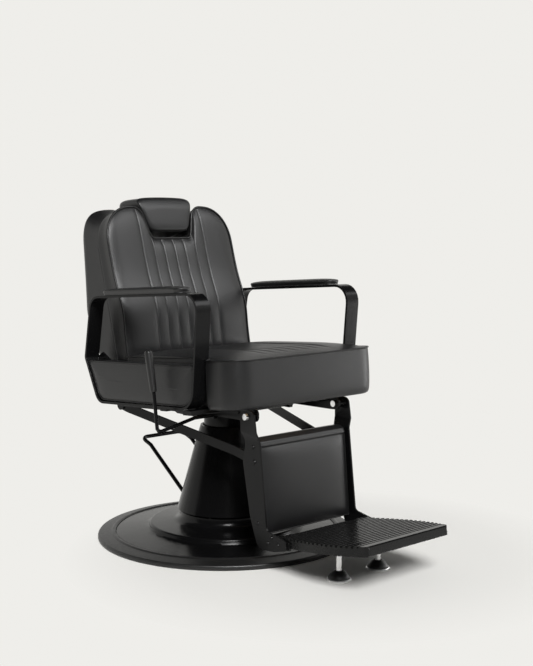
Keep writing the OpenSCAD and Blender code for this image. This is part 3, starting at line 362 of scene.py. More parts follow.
# ------------------------------------------------------------------ leatherette
# Seat, back, panels and pads are covered in black leatherette: a fine pebbled
# grain, a soft sheen, and a little variation where the hide is stretched.
hide = Finish("black_leatherette", Base_Color=shade(0.03))
hide.shader.inputs["Specular IOR Level"].default_value = 0.42
where = hide.place()
grain = hide.node("TexVoronoi", out="Distance", settings={"feature": "DISTANCE_TO_EDGE"},
                  Vector=where, Scale=620.0)
blotch = hide.noise(5.0, 4.0, where)
hide.set("Base Color", hide.mix(blotch, shade((0.006, 0.006, 0.0063)), shade((0.011, 0.011, 0.0115))))
hide.set("Roughness", (blotch * 0.12 + hide.noise(260.0, 2.0, where) * 0.1 + 0.25).clamp(0.22, 0.6))
hide.bump(grain.clamp(0.0, 0.12) * 6.0 + hide.noise(1500.0, 2.0, where) * 0.3, 0.00025, 0.3)
dress(["seat_cushion", "side_panel_right", "side_panel_left", "back_cushion", "back_shell", "headrest_pad",
       "calf_pad", "calf_roll"], hide)

# ------------------------------------------------------------------ boards
# The seat board is bare birch plywood; the board of the leg rest is stained
# black on both faces.
ply = Finish("birch_plywood", Base_Color=shade((0.45, 0.33, 0.2)), Roughness=0.6)
rings = ply.node("TexWave", Vector=ply.place(), Scale=9.0, Distortion=6.0, Detail=3.0)
ply.set("Base Color", ply.mix(rings, shade((0.42, 0.3, 0.18)), shade((0.55, 0.42, 0.27))))
ply.bump(rings, 0.0002, 0.2)
dress(["seat_board"], ply)
stained = Finish("stained_board", Base_Color=shade(0.02), Roughness=0.5)
stained.set("Base Color", stained.mix(stained.noise(30.0, 4.0), shade(0.012), shade(0.026)))
stained.bump(stained.noise(200.0, 4.0), 0.0002, 0.3)
dress(["calf_board"], stained)

# ------------------------------------------------------------------ stuffed pieces
# Each cover is cut as panels, sewn into channels, pulled over moulded foam and
# piped at its seams. The foam's push is a short cloth simulation between seams.
MM = 0.001
CLOTH_FRAMES, EVENING_PASSES = 20, 40


def lean(drop, height, degrees, *more):
    """Where a piece of the chair stands: tilted about X at [drop, height] mm."""
    made = Matrix.Translation((0, drop * MM, height * MM)) @ Matrix.Rotation(math.radians(degrees), 4, "X")
    for turn_by in more:
        made = made @ turn_by
    return made


def both_sides(half):
    return [-x for x in reversed(half) if x > 0] + list(half)


def cut_cover(name, xs, vs, lo, hi, face, back, rings, place, flip=False, warp=None, tuck=1.0):
    """A closed cover in mm: columns xs, rows vs from lo(x) to hi(x), bands down its side.

    tuck draws the back in about the middle, as a share of its size."""
    nx, ny = len(xs), len(vs)
    plan = [[(x, lo(x) + (hi(x) - lo(x)) * v) for v in vs] for x in xs]
    rim = [(i, 0) for i in range(nx)] + [(nx - 1, j) for j in range(1, ny)]
    rim += [(i, ny - 1) for i in range(nx - 2, -1, -1)] + [(0, j) for j in range(ny - 2, 0, -1)]
    loop = [Vector(plan[i][j]) for i, j in rim]
    count = len(rim)
    points = [(x, y, face(x, y)) for column in plan for x, y in column]
    for inset, height in rings:
        for k in range(count):
            along = loop[(k + 1) % count] - loop[k - 1]
            along = along.normalized() if along.length > 1e-6 else Vector((0, 1))
            spot = loop[k] + Vector((-along.y, along.x)) * inset
            points.append((spot.x, spot.y, height(*loop[k])))
    middle = (lo(0) + hi(0)) / 2
    points += [(x * tuck, middle + (y - middle) * tuck, back(x, y)) for column in plan for x, y in column]
    foot = nx * ny + count * len(rings)
    rows = [[i * ny + j for i, j in rim]]
    rows += [[nx * ny + r * count + k for k in range(count)] for r in range(len(rings))]
    rows += [[foot + i * ny + j for i, j in rim]]
    faces = []
    for i in range(nx - 1):
        for j in range(ny - 1):
            quad = (i * ny + j, (i + 1) * ny + j, (i + 1) * ny + j + 1, i * ny + j + 1)
            faces.append(quad)
            faces.append(tuple(foot + q for q in reversed(quad)))
    for upper, lower in zip(rows, rows[1:]):
        faces += [(upper[k], lower[k], lower[(k + 1) % count], upper[(k + 1) % count]) for k in range(count)]
    if warp:
        points = [warp(*p) for p in points]
    if flip:
        points = [(x, y, -z) for x, y, z in points]
        faces = [tuple(reversed(f)) for f in faces]
    mesh = bpy.data.meshes.new(name)
    mesh.from_pydata([tuple(place @ (Vector(p) * MM)) for p in points], [], faces)
    mesh.polygons.foreach_set("use_smooth", [True] * len(mesh.polygons))
    mesh.update()
    made = new_object(name, mesh)
    made["top"] = nx * ny
    return made, rows


def tucked(cover, rows):
    """Points that lie on the board behind a cover: its last two rings and its back."""
    count = len(cover.data.vertices)
    return rows[-2] + rows[-1] + list(range(count - cover["top"], count))


def facing_out(mesh):
    """Turns every face outwards and shades it smooth."""
    shaped = bmesh.new()
    shaped.from_mesh(mesh)
    bmesh.ops.recalc_face_normals(shaped, faces=shaped.faces)
    shaped.to_mesh(mesh)
    shaped.free()
    mesh.polygons.foreach_set("use_smooth", [True] * len(mesh.polygons))
    mesh.update()


def stuff(cover, sewn, push, cap):
    """Pushes the cover out between its sewn points by cloth, at most cap mm.

    The foam under a real cover evens its small folds, so the move is averaged
    along the cover's edges; sewn points stay where they are."""
    start = np.empty(len(cover.data.vertices) * 3)
    cover.data.vertices.foreach_get("co", start)
    cover.vertex_groups.new(name="sewn").add([int(v) for v in sewn], 1.0, "ADD")
    cloth = cover.modifiers.new("foam", "CLOTH")
    cloth.settings.quality = 5
    cloth.settings.mass = 0.3
    cloth.settings.tension_stiffness = cloth.settings.compression_stiffness = 12
    cloth.settings.bending_stiffness = 1.2
    cloth.settings.use_pressure = True
    cloth.settings.uniform_pressure_force = push
    cloth.settings.vertex_group_mass = "sewn"
    cloth.settings.effector_weights.gravity = 0
    cloth.collision_settings.use_collision = False
    cloth.point_cache.frame_start, cloth.point_cache.frame_end = 1, CLOTH_FRAMES
    for tick in range(1, CLOTH_FRAMES + 1):
        scene.frame_set(tick)
    shaped = cover.evaluated_get(bpy.context.evaluated_depsgraph_get())
    end = np.empty_like(start)
    shaped.data.vertices.foreach_get("co", end)
    cover.modifiers.remove(cloth)
    cover.vertex_groups.clear()
    scene.frame_set(1)
    move = (end - start).reshape(-1, 3)
    ends = np.empty(len(cover.data.edges) * 2, dtype=np.int64)
    cover.data.edges.foreach_get("vertices", ends)
    a, b = ends.reshape(-1, 2).T
    joined = np.bincount(a, minlength=len(move)) + np.bincount(b, minlength=len(move))
    joined = np.maximum(joined, 1)[:, None]
    fixed = [int(v) for v in sewn]
    for evening in range(EVENING_PASSES):
        pooled = np.zeros_like(move)
        np.add.at(pooled, a, move[b])
        np.add.at(pooled, b, move[a])
        move = pooled / joined
        move[fixed] = 0
    length = np.linalg.norm(move, axis=1, keepdims=True) + 1e-12
    move *= np.tanh(length / (cap * MM)) * cap * MM / length
    start = start + move.reshape(-1)
    cover.data.vertices.foreach_set("co", start)
    cover.data.update()


def finish_cover(cover, node, body, finish, levels=1):
    if levels:
        smooth = cover.modifiers.new("smooth", "SUBSURF")
        smooth.levels = smooth.render_levels = levels
    cover.data.materials.append(finish.material)
    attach(cover, body)
    if node:
        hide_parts(node)


# ------------------------------------------------------------------ piping and stitches
# Piping is a cord wrapped in the same leatherette and sewn into the seam, coloured darker
# as painted seam shade; the topstitch beside it and in the channels is a waxed black thread.
def tree_of(name, sockets):
    made = bpy.data.node_groups.new(name, "GeometryNodeTree")
    made.interface.new_socket("Geometry", in_out="INPUT", socket_type="NodeSocketGeometry")
    for label, kind, value in sockets:
        socket = made.interface.new_socket(label, in_out="INPUT", socket_type="NodeSocket" + kind)
        if value is not None:
            socket.default_value = value
    made.interface.new_socket("Geometry", in_out="OUTPUT", socket_type="NodeSocketGeometry")
    return made, made.nodes.new("NodeGroupInput"), made.nodes.new("NodeGroupOutput")


piping_tree, given, result = tree_of("piping_cord", [("Radius", "Float", 0.003), ("Step", "Float", 0.004),
                                                     ("Cover", "Material", None)])
link = piping_tree.links.new
path_curve = piping_tree.nodes.new("GeometryNodeMeshToCurve")
spaced = piping_tree.nodes.new("GeometryNodeResampleCurve")
spaced.mode = "LENGTH"
section = piping_tree.nodes.new("GeometryNodeCurvePrimitiveCircle")
section.inputs["Resolution"].default_value = 10
swept = piping_tree.nodes.new("GeometryNodeCurveToMesh")
swept.inputs["Fill Caps"].default_value = True
rounded = piping_tree.nodes.new("GeometryNodeSetShadeSmooth")
real = piping_tree.nodes.new("GeometryNodeRealizeInstances")
painted = piping_tree.nodes.new("GeometryNodeSetMaterial")
link(given.outputs["Geometry"], path_curve.inputs["Mesh"])
link(path_curve.outputs[0], spaced.inputs["Curve"])
link(given.outputs["Step"], spaced.inputs["Length"])
link(given.outputs["Radius"], section.inputs["Radius"])
link(spaced.outputs[0], swept.inputs["Curve"])
link(section.outputs[0], swept.inputs["Profile Curve"])
link(swept.outputs[0], rounded.inputs["Geometry"])
link(rounded.outputs[0], real.inputs[0])
link(real.outputs[0], painted.inputs["Geometry"])
link(given.outputs["Cover"], painted.inputs["Material"])
link(painted.outputs[0], result.inputs[0])

stitch_tree, given, result = tree_of("topstitch", [("Spacing", "Float", 0.0045), ("Length", "Float", 0.0014),
                                                   ("Thickness", "Float", 0.00045),
                                                   ("Thread", "Material", None)])
link = stitch_tree.links.new
path_curve = stitch_tree.nodes.new("GeometryNodeMeshToCurve")
spaced = stitch_tree.nodes.new("GeometryNodeResampleCurve")
spaced.mode = "LENGTH"
bead = stitch_tree.nodes.new("GeometryNodeMeshUVSphere")
bead.inputs["Segments"].default_value = 5
bead.inputs["Rings"].default_value = 4
bead.inputs["Radius"].default_value = 1.0
way = stitch_tree.nodes.new("GeometryNodeInputTangent")
turned = stitch_tree.nodes.new("FunctionNodeAlignRotationToVector")
turned.axis = "Z"
size = stitch_tree.nodes.new("ShaderNodeCombineXYZ")
placed = stitch_tree.nodes.new("GeometryNodeInstanceOnPoints")
real = stitch_tree.nodes.new("GeometryNodeRealizeInstances")
painted = stitch_tree.nodes.new("GeometryNodeSetMaterial")
link(given.outputs["Geometry"], path_curve.inputs["Mesh"])
link(path_curve.outputs[0], spaced.inputs["Curve"])
link(given.outputs["Spacing"], spaced.inputs["Length"])
link(way.outputs[0], turned.inputs["Vector"])
link(given.outputs["Thickness"], size.inputs[0])
link(given.outputs["Thickness"], size.inputs[1])
link(given.outputs["Length"], size.inputs[2])
link(spaced.outputs[0], placed.inputs["Points"])
link(bead.outputs[0], placed.inputs["Instance"])
link(turned.outputs[0], placed.inputs["Rotation"])
link(size.outputs[0], placed.inputs["Scale"])
link(placed.outputs[0], real.inputs[0])
link(real.outputs[0], painted.inputs["Geometry"])
link(given.outputs["Thread"], painted.inputs["Material"])
link(painted.outputs[0], result.inputs[0])

# The cord is coloured darker than the leatherette: painted shade for the dark line along each seam
cord_painted_seam_shade = Finish("piping_painted_seam_shade", Base_Color=shade(0.003))
cord_painted_seam_shade.shader.inputs["Specular IOR Level"].default_value = 0.35
cord_painted_seam_shade.set("Roughness", (cord_painted_seam_shade.noise(300.0) * 0.2 + 0.26).clamp(0.2, 0.6))
cord_painted_seam_shade.bump(cord_painted_seam_shade.noise(900.0), 0.0002, 0.25)
thread = Finish("black_thread", Base_Color=shade(0.03))
thread.set("Roughness", (thread.noise(2000.0) * 0.2 + 0.4).clamp(0.3, 0.8))


def grown(name, paths, tree, body, slot, **values):
    """Runs one tree over open or closed paths (metres) and keeps the plain mesh."""
    points, edges = [], []
    for path, closed in paths:
        first = len(points)
        points += [tuple(p) for p in path]
        edges += [(first + k, first + k + 1) for k in range(len(path) - 1)]
        if closed:
            edges.append((len(points) - 1, first))
    mesh = bpy.data.meshes.new(name + "_path")
    mesh.from_pydata(points, edges, [])
    made = new_object(name, mesh)
    modifier = made.modifiers.new("grow", "NODES")
    modifier.node_group = tree
    for item in tree.interface.items_tree:
        if item.item_type == "SOCKET" and item.in_out == "INPUT" and item.name in values:
            modifier[item.identifier] = values[item.name]
    plain = bpy.data.meshes.new_from_object(made.evaluated_get(bpy.context.evaluated_depsgraph_get()))
    made.modifiers.remove(modifier)
    made.data = plain
    plain.name = name
    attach(made, body)
    return made


def pipe(name, paths, body, radius=0.0032):
    return grown(name, paths, piping_tree, body, "black_leather", Radius=radius, Cover=cord_painted_seam_shade.material)


def stitch(name, paths, body, spacing=0.0045):
    return grown(name, paths, stitch_tree, body, "black_leather", Spacing=spacing, Thread=thread.material)


def lifted(cover, indices, out):
    """Points on the cover, moved out along its own normals by out mm."""
    return [cover.data.vertices[i].co + cover.data.vertices[i].normal * out * MM for i in indices]


CHANNEL_PITCH = 40.0


def groove(x, lines, depth, wide=17.0):
    """How deep a sewn channel draws the cover in at x mm from the middle."""
    step = abs(x) / CHANNEL_PITCH
    near = abs(step - round(step)) * CHANNEL_PITCH
    if round(step) > lines:
        return 0.0
    return depth * (0.62 * math.exp(-near / 1.8) + 0.38 * max(0.0, 1 - near / wide) ** 1.6)


def channel_columns(lines):
    made = [0.0, 1.2, 4.0, 10.0, 20.0]
    for k in range(1, lines + 1):
        made += [k * CHANNEL_PITCH + d for d in (-10, -4, -1.2, 0, 1.2, 4, 10)]
        made += [k * CHANNEL_PITCH + 20] if k < lines else []
    return made


def seam_columns(xs, lines=3):
    """Which columns of a cover lie on its channel seams."""
    reach = lines * CHANNEL_PITCH + 1
    return [i for i, x in enumerate(xs)
            if abs(x) < reach and abs(x / CHANNEL_PITCH - round(x / CHANNEL_PITCH)) < 1e-6]


# ------------------------------------------------------------------ seat cushion
# A T-shaped foam block on the plywood board: box sides, a crowned top with
# seven sewn channels that fade out towards the waterfall front.
seat_place = lean(0, 415.9, -3.8)
SEAT_HALF, NOSE_HALF, SEAT_FRONT, SEAT_REAR, NOSE_R, SEAT_T = 251, 272, 360, 145.5, 60, 131


def seat_lo(x):
    over = abs(x) - (NOSE_HALF - NOSE_R)
    return -SEAT_FRONT + (NOSE_R - math.sqrt(max(0, NOSE_R**2 - over**2)) if over > 0 else 0)


def seat_hi(x):
    over = abs(x) - (SEAT_HALF - 14)
    if abs(x) > SEAT_HALF + 1:
        return -247
    return SEAT_REAR - (14 - math.sqrt(max(0, 196 - over * over)) if over > 0 else 0)


def seat_top(x, y):
    along = (y + SEAT_FRONT) / (SEAT_FRONT + SEAT_REAR)
    front = 1 - (1 - min(1, max(0, along) / 0.3)) ** 2.4
    sides = 1 - min(1, abs(x) / NOSE_HALF) ** 5
    rear = 1 - max(0, min(1, (along - 0.6) / 0.4)) ** 4
    sewn = groove(x, 3, depth=6.0) * min(1, max(0, (along - 0.06) / 0.16))
    return SEAT_T + (17 * front * sides - sewn) * rear


def seat_cut(y):
    return max(0, (y + 104) * 0.23)


def seat_low(x, y):
    return max(12.3, seat_cut(y)) if abs(x) < SEAT_HALF - 22 and y > -346 else seat_cut(y)


seat_xs = both_sides(channel_columns(3) + [134, 150, 168, 186, 203, 218, 230, 239, 245, 249, 251,
                                           253, 258, 264, 268, 271, 272])
seat_vs = [0, 0.006, 0.018, 0.036, 0.06] + [0.06 + 0.88 * k / 34 for k in range(1, 34)] + [0.94, 0.97, 0.99, 1]
seat_rings = [(0.5, lambda x, y: SEAT_T - 4),
              (-0.6, lambda x, y: SEAT_T - 18),
              (-1.4, lambda x, y: (SEAT_T * 2 + seat_cut(y)) / 3),
              (-1.2, lambda x, y: (SEAT_T + 2 * seat_cut(y)) / 3),
              (0.3, lambda x, y: seat_cut(y) + 18),
              (2.4, lambda x, y: seat_cut(y) + 8),
              (5.5, lambda x, y: seat_cut(y) + 2.5)]
seat, seat_rows = cut_cover("seat_cover", seat_xs, seat_vs, seat_lo, seat_hi, seat_top, seat_low,
                            seat_rings, seat_place, tuck=0.965)
rows_y = len(seat_vs)
lines_at = seam_columns(seat_xs)
held = [i * rows_y + j for i in lines_at for j in range(6, rows_y)]
stuff(seat, held + seat_rows[0] + tucked(seat, seat_rows), push=3.0, cap=4.0)
finish_cover(seat, "seat_cushion", "lift", hide)
pipe("seat_piping", [(lifted(seat, seat_rows[0], 0.2), True)], "lift", radius=0.0023)
seat_seams = [[i * rows_y + j for j in range(7, rows_y - 2)] for i in lines_at]
stitch("seat_channel_stitches", [(lifted(seat, seam, 0.4), False) for seam in seat_seams], "lift")

# ------------------------------------------------------------------ back
# The front cushion has channels from the head notch to the seat and a plain
# panel on each side; the rear shell is one deep upholstered form.
back_place = lean(145.3, 480, -15.7, Matrix.Rotation(math.radians(90), 4, "X"))
BACK_HALF, BACK_H, NOTCH_S, NOTCH_HALF, SHOULDER, PAD_T = 236, 510, 411, 78, 128, 55
NOTCH_TOP = NOTCH_HALF + 20


def back_hi(x):
    a, r = abs(x), 14
    if a <= NOTCH_HALF - r:
        return NOTCH_S
    if a <= NOTCH_HALF + 4:
        bend = min(r, a - NOTCH_HALF + r)
        return NOTCH_S + r - math.sqrt(max(0, r * r - bend**2)) + max(0, a - NOTCH_HALF) * 1.2
    if a <= NOTCH_TOP:
        climb = (BACK_H - 18 - NOTCH_S - r - 5) * (a - NOTCH_HALF - 4)
        return NOTCH_S + r + 5 + climb / (NOTCH_TOP - NOTCH_HALF - 4)
    if a <= SHOULDER:
        return BACK_H - 18 * ((SHOULDER - a) / (SHOULDER - NOTCH_TOP)) ** 2
    return BACK_H - 110 + 110 * math.sqrt(max(0, 1 - ((a - SHOULDER) / (BACK_HALF - SHOULDER)) ** 2.5))


def back_lo(x):
    over = abs(x) - (BACK_HALF - 16)
    return 16 - math.sqrt(max(0, 256 - over * over)) if over > 0 else 0


def pad_lo(x):
    return back_lo(x) + 24


def swell(s):
    return 14 * math.exp(-(((s - 200) / 75) ** 2)) - 6 * math.exp(-((s / 60) ** 2))


def back_face(x, s):
    u, v = abs(x) / BACK_HALF, s / max(1, back_hi(x))
    edge = (1 - u**11) * (1 - abs(2 * v - 1) ** 12)
    opening = min(1, max(0, s - 20) / 60)
    return swell(s) + (13 * edge - groove(x, 3, depth=4.5) * min(1, (1 - abs(2 * v - 1) ** 12) * 3)) * opening


back_xs = both_sides([0, 1.2, 4, 10, 20, 30, 36, 38.8, 40, 41.2, 44, 50, 58, 64, 69, 73, 76, 78, 79, 80, 81.2,
                      82, 84, 88, 93, 98, 103, 108, 113, 116, 118.8, 120, 121.2, 124, 130, 140, 152, 164,
                      176, 188, 199, 208, 216, 223, 229, 233, 235.2, 236])
back_vs = [0, 0.006, 0.02, 0.045] + [0.045 + 0.915 * k / 44 for k in range(1, 44)] + [0.96, 0.98, 0.994, 1]
back_rings = [(-0.5, lambda x, s: swell(s) - 4),
              (0.5, lambda x, s: swell(s) - 14),
              (2, lambda x, s: (swell(s) - PAD_T) / 2),
              (0.5, lambda x, s: 12 - PAD_T),
              (0, lambda x, s: 4 - PAD_T)]
back, back_rows = cut_cover("back_cover", back_xs, back_vs, pad_lo, back_hi, back_face,
                            lambda x, s: -PAD_T, back_rings, back_place)
rows_y = len(back_vs)
lines_at = seam_columns(back_xs)
held = [i * rows_y + j for i in lines_at for j in range(5, rows_y - 2)]
stuff(back, held + back_rows[0] + tucked(back, back_rows), push=3.0, cap=3.5)
finish_cover(back, "back_cushion", "recline", hide)

# The piping ends at the lower corners, clear of the seat when the back reclines
round_top = back_rows[0][len(back_xs) - 1:] + back_rows[0][:1]
pipe("back_piping", [(lifted(back, round_top, 1.6), False)], "recline")
back_seams = [[i * rows_y + j for j in range(7, rows_y - 4)] for i in lines_at]
stitch("back_channel_stitches", [(lifted(back, seam, 0.4), False) for seam in back_seams], "recline")

# The side plates of the back frame end behind the side panels
upright = back_place.inverted()
PLATE_FROM, PLATE_DROP = 0.07, 0.034


def lowered(co):
    x, s, depth = upright @ co
    return back_place @ Vector((x, s - PLATE_DROP if s > PLATE_FROM else s, depth))


coated("back_frame", "recline", coat, 0, lowered)

SHELL_BASE = 55.3


def shell_depth(s):
    if s < 230:
        return 128 + 66 * (1 - (1 - s / 230) ** 1.6)
    return 194 - 46 * (s - 230) / 200 - 30 * (max(0, s - BACK_H + 50) / 50) ** 5


SHELL_ROUND, SHELL_CROWN = 30, 3


def shell_face(x, s):
    over = max(0, abs(x) - (BACK_HALF - SHELL_ROUND)) / SHELL_ROUND
    head, foot = max(0, s - (back_hi(x) - 16)) / 16, max(0, 24 - s) / 24
    turned_in = SHELL_ROUND * (1 - math.sqrt(max(0, 1 - over * over)))
    crowned = shell_depth(s) - SHELL_CROWN * (x / BACK_HALF) ** 2
    return max(65, crowned - turned_in - 9 * head * head - 10 * foot * foot)


def shell_rise(x, s, depth):
    """The top stays level towards the rear although the back leans."""
    return x, s + 0.62 * max(0, depth - 60) * (max(0, s) / BACK_H) ** 4, depth


shell_xs = both_sides([0, 15, 30, 45, 58, 66, 72, 76, 79, 82, 86, 92, 98, 103, 108, 116, 126, 140, 155, 170,
                       184, 194, 203, 211, 218, 224, 229, 233, 235.2, 236])
shell_vs = [0, 0.01, 0.03, 0.055] + [0.055 + 0.86 * k / 26 for k in range(1, 26)]
shell_vs += [0.915, 0.945, 0.97, 0.988, 1]
shell_rings = [(0.3, lambda x, s: shell_face(x, s) - 3),
               (0.3, lambda x, s: shell_face(x, s) * 0.6 + SHELL_BASE * 0.4),
               (0.3, lambda x, s: shell_face(x, s) * 0.2 + SHELL_BASE * 0.8),
               (0, lambda x, s: SHELL_BASE + 1.5)]
shell, shell_rows = cut_cover("back_shell_cover", shell_xs, shell_vs, back_lo, lambda x: back_hi(x) - 2,
                              shell_face, lambda x, s: SHELL_BASE, shell_rings, back_place,
                              flip=True, warp=shell_rise)
stuff(shell, tucked(shell, shell_rows), push=1.2, cap=2.0)
finish_cover(shell, "back_shell", "recline", hide)

# ------------------------------------------------------------------ headrest
# A block of foam in a sewn cover, on two plated posts that slide in the shell.
HEAD_LO, HEAD_H = NOTCH_S + 24, 103


def head_half(s):
    return NOTCH_HALF - 2 + (NOTCH_TOP - NOTCH_HALF) * max(0, s - NOTCH_S - 20) / (BACK_H - 38 - NOTCH_S) - 4


head_slabs = [(-5.6, 30), (-5.2, 15), (-4.2, 7), (-2.2, 2.8), (0.6, 0.8), (4, 0), (10, 0), (24, 0), (42, 0),
              (60, 0), (78, 0), (92, 0.6), (102, 2.5), (110, 6), (116, 11), (119.5, 18), (121, 28)]
head_points, head_faces = [], []
ring_count = 64
for depth, inset in head_slabs:
    for k in range(ring_count):
        a = 2 * math.pi * k / ring_count
        c, s = math.cos(a), math.sin(a)
        m = (abs(c) ** 8 + abs(s) ** 8) ** (-1 / 8)
        u, w = c * m, s * m
        z = HEAD_LO + HEAD_H / 2 + w * (HEAD_H / 2 - inset)
        widening = (head_half(HEAD_LO + HEAD_H) - head_half(HEAD_LO)) * (z - HEAD_LO) / HEAD_H
        wide = head_half(HEAD_LO) + widening - inset
        t = depth + 9 * max(0, w) ** 3 * max(0, 1 - inset / 30) if depth < 20 else depth
        head_points.append((u * wide, z + 4 * max(0, w) ** 2 * (1 - u * u) + 0.22 * max(0, t) * max(0, w), -t))
for r in range(len(head_slabs) - 1):
    for k in range(ring_count):
        m = (k + 1) % ring_count
        near, far = r * ring_count, (r + 1) * ring_count
        head_faces.append((near + k, far + k, far + m, near + m))
for r, way in ((0, 1), (len(head_slabs) - 1, -1)):
    ring = [r * ring_count + k for k in range(ring_count)]
    spot = sum((Vector(head_points[i]) for i in ring), Vector()) / ring_count
    inner = []
    for share in (0.66, 0.33):
        inner.append(len(head_points))
        head_points += [tuple(spot + (Vector(head_points[i]) - spot) * share) for i in ring]
    head_points.append(tuple(spot))
    tip = len(head_points) - 1
    bands = [ring] + [list(range(start, start + ring_count)) for start in inner]
    for outer_band, inner_band in zip(bands, bands[1:]):
        for k in range(ring_count):
            m = (k + 1) % ring_count
            quad = (outer_band[k], outer_band[m], inner_band[m], inner_band[k])
            head_faces.append(quad if way > 0 else tuple(reversed(quad)))
    for k in range(ring_count):
        m = (k + 1) % ring_count
        head_faces.append((bands[-1][k], bands[-1][m], tip)[::way])
head_mesh = bpy.data.meshes.new("headrest_cover")
head_mesh.from_pydata([tuple(back_place @ (Vector(p) * MM)) for p in head_points], [], head_faces)
head_mesh.polygons.foreach_set("use_smooth", [True] * len(head_mesh.polygons))
head_mesh.update()
headrest = new_object("headrest_cover", head_mesh)
front_seam = list(range(5 * ring_count, 6 * ring_count))
rear_seam = list(range(12 * ring_count, 13 * ring_count))
stuff(headrest, front_seam + rear_seam, push=2.5, cap=2.5)
finish_cover(headrest, "headrest_pad", "headrest", hide)
pipe("headrest_seams", [(lifted(headrest, front_seam, -0.6), True)], "headrest", radius=0.0014)

# ------------------------------------------------------------------ side panels
# Foam-backed panels fill the foot of each arm loop: a flat face with a rolled
# edge, piped along its top.
ARM_IN, BAND_W, BAND_T = 259, 47, 7


def corner(a, b, c, r, n):
    """Arc of radius r at corner b, as n + 1 points."""
    a, b, c = Vector(a), Vector(b), Vector(c)
    u, v = (a - b).normalized(), (c - b).normalized()
    half = math.acos(max(-1, min(1, u.dot(v)))) / 2
    centre = b + (u + v).normalized() * r / math.sin(half)
    p, q = b + u * r / math.tan(half) - centre, b + v * r / math.tan(half) - centre
    start, sweep = math.atan2(p.y, p.x), p.angle_signed(q)
    turns = [start - sweep * k / n for k in range(n + 1)]
    return [centre + Vector((math.cos(turn), math.sin(turn))) * r for turn in turns]


def outline(corners, n=10, spacing=14.0):
    """Rounded outline in the side view, with points along its straights."""
    rough = []
    for i, (y, z, r) in enumerate(corners):
        rough += corner(corners[i - 1][:2], (y, z), corners[(i + 1) % len(corners)][:2], r, n)
    made = []
    for p, q in zip(rough, rough[1:] + rough[:1]):
        steps = max(1, round((q - p).length / spacing))
        made += [p.lerp(q, k / steps) for k in range(steps)]
    return made


band = [(-223, 430.5), (-251, 747), (250, 712.5), (283, 530), (218, 401.1)]


def inward(points, t):
    made = []
    for i, b in enumerate(points):
        a, b, d = Vector(points[i - 1]), Vector(b), Vector(points[(i + 1) % len(points)])
        u, v = (b - a).normalized(), (d - b).normalized()
        nu, nv = Vector((u.y, -u.x)), Vector((v.y, -v.x))
        m = (nu + nv).normalized()
        made.append(b + m * t / m.dot(nu))
    return made


band_in = inward(band, BAND_T)


def on_line(a, b, z):
    return a.x + (b.x - a.x) * (z - a.y) / (b.y - a.y)


panel_corners = [(band_in[0].x + 0.6, band_in[0].y + 0.6, 55),
                 (on_line(band_in[0], band_in[1], 553) + 0.6, 553, 6),
                 (on_line(band_in[4], band_in[3], 523) - 0.6, 523, 6),
                 (band_in[4].x - 0.6, band_in[4].y + 0.6, 35)]
panel_line = outline(panel_corners)
PANEL_IN, PANEL_OUT = ARM_IN + 10, ARM_IN + BAND_W - 6
panel_mid = Vector((20, 478))
panel_steps = [(PANEL_IN, 3), (PANEL_IN + 3, 0.4), (PANEL_IN + 12, 0)]
panel_steps += [(PANEL_OUT + out, drawn) for out, drawn in (
    (-12, 0), (-7, 0.3), (-3.5, 1.5), (-1, 3.6), (0.8, 7), (2.2, 12), (3.4, 19), (4.2, 28), (4.6, 38),
    (4.8, 48), (4.85, 55), (4.88, 59.5))]
for hand, name in ((-1, "right"), (1, "left")):
    n = len(panel_line)
    points, faces = [], []
    for x, drawn in panel_steps:
        for p in panel_line:
            kept_y, kept_z = 1 - drawn / 240, 1 - drawn / 62
            q = panel_mid + Vector(((p.x - panel_mid.x) * kept_y, (p.y - panel_mid.y) * kept_z))
            points.append((hand * x, q.x, q.y))
    for x in (PANEL_OUT + 4.9, PANEL_IN):
        points.append((hand * x, panel_mid.x, panel_mid.y))
    last = (len(panel_steps) - 1) * n
    for r in range(len(panel_steps) - 1):
        near, far = r * n, (r + 1) * n
        faces += [(near + k, far + k, far + (k + 1) % n, near + (k + 1) % n) for k in range(n)]
    faces += [(last + k, last + n, last + (k + 1) % n) for k in range(n)]
    faces += [(k, (k + 1) % n, last + n + 1) for k in range(n)]
    mesh = bpy.data.meshes.new("side_panel_cover_" + name)
    mesh.from_pydata([tuple(Vector(p) * MM) for p in points], [], faces)
    facing_out(mesh)
    panel = new_object("side_panel_cover_" + name, mesh)
    stuff(panel, range(0, 5 * n), push=2.0, cap=2.0)
    finish_cover(panel, "side_panel_" + name, "lift", hide)
    top_edge = list(range(6 * n, 7 * n))
    pipe("side_panel_piping_" + name, [(lifted(panel, top_edge, 0.2), True)], "lift", radius=0.0022)

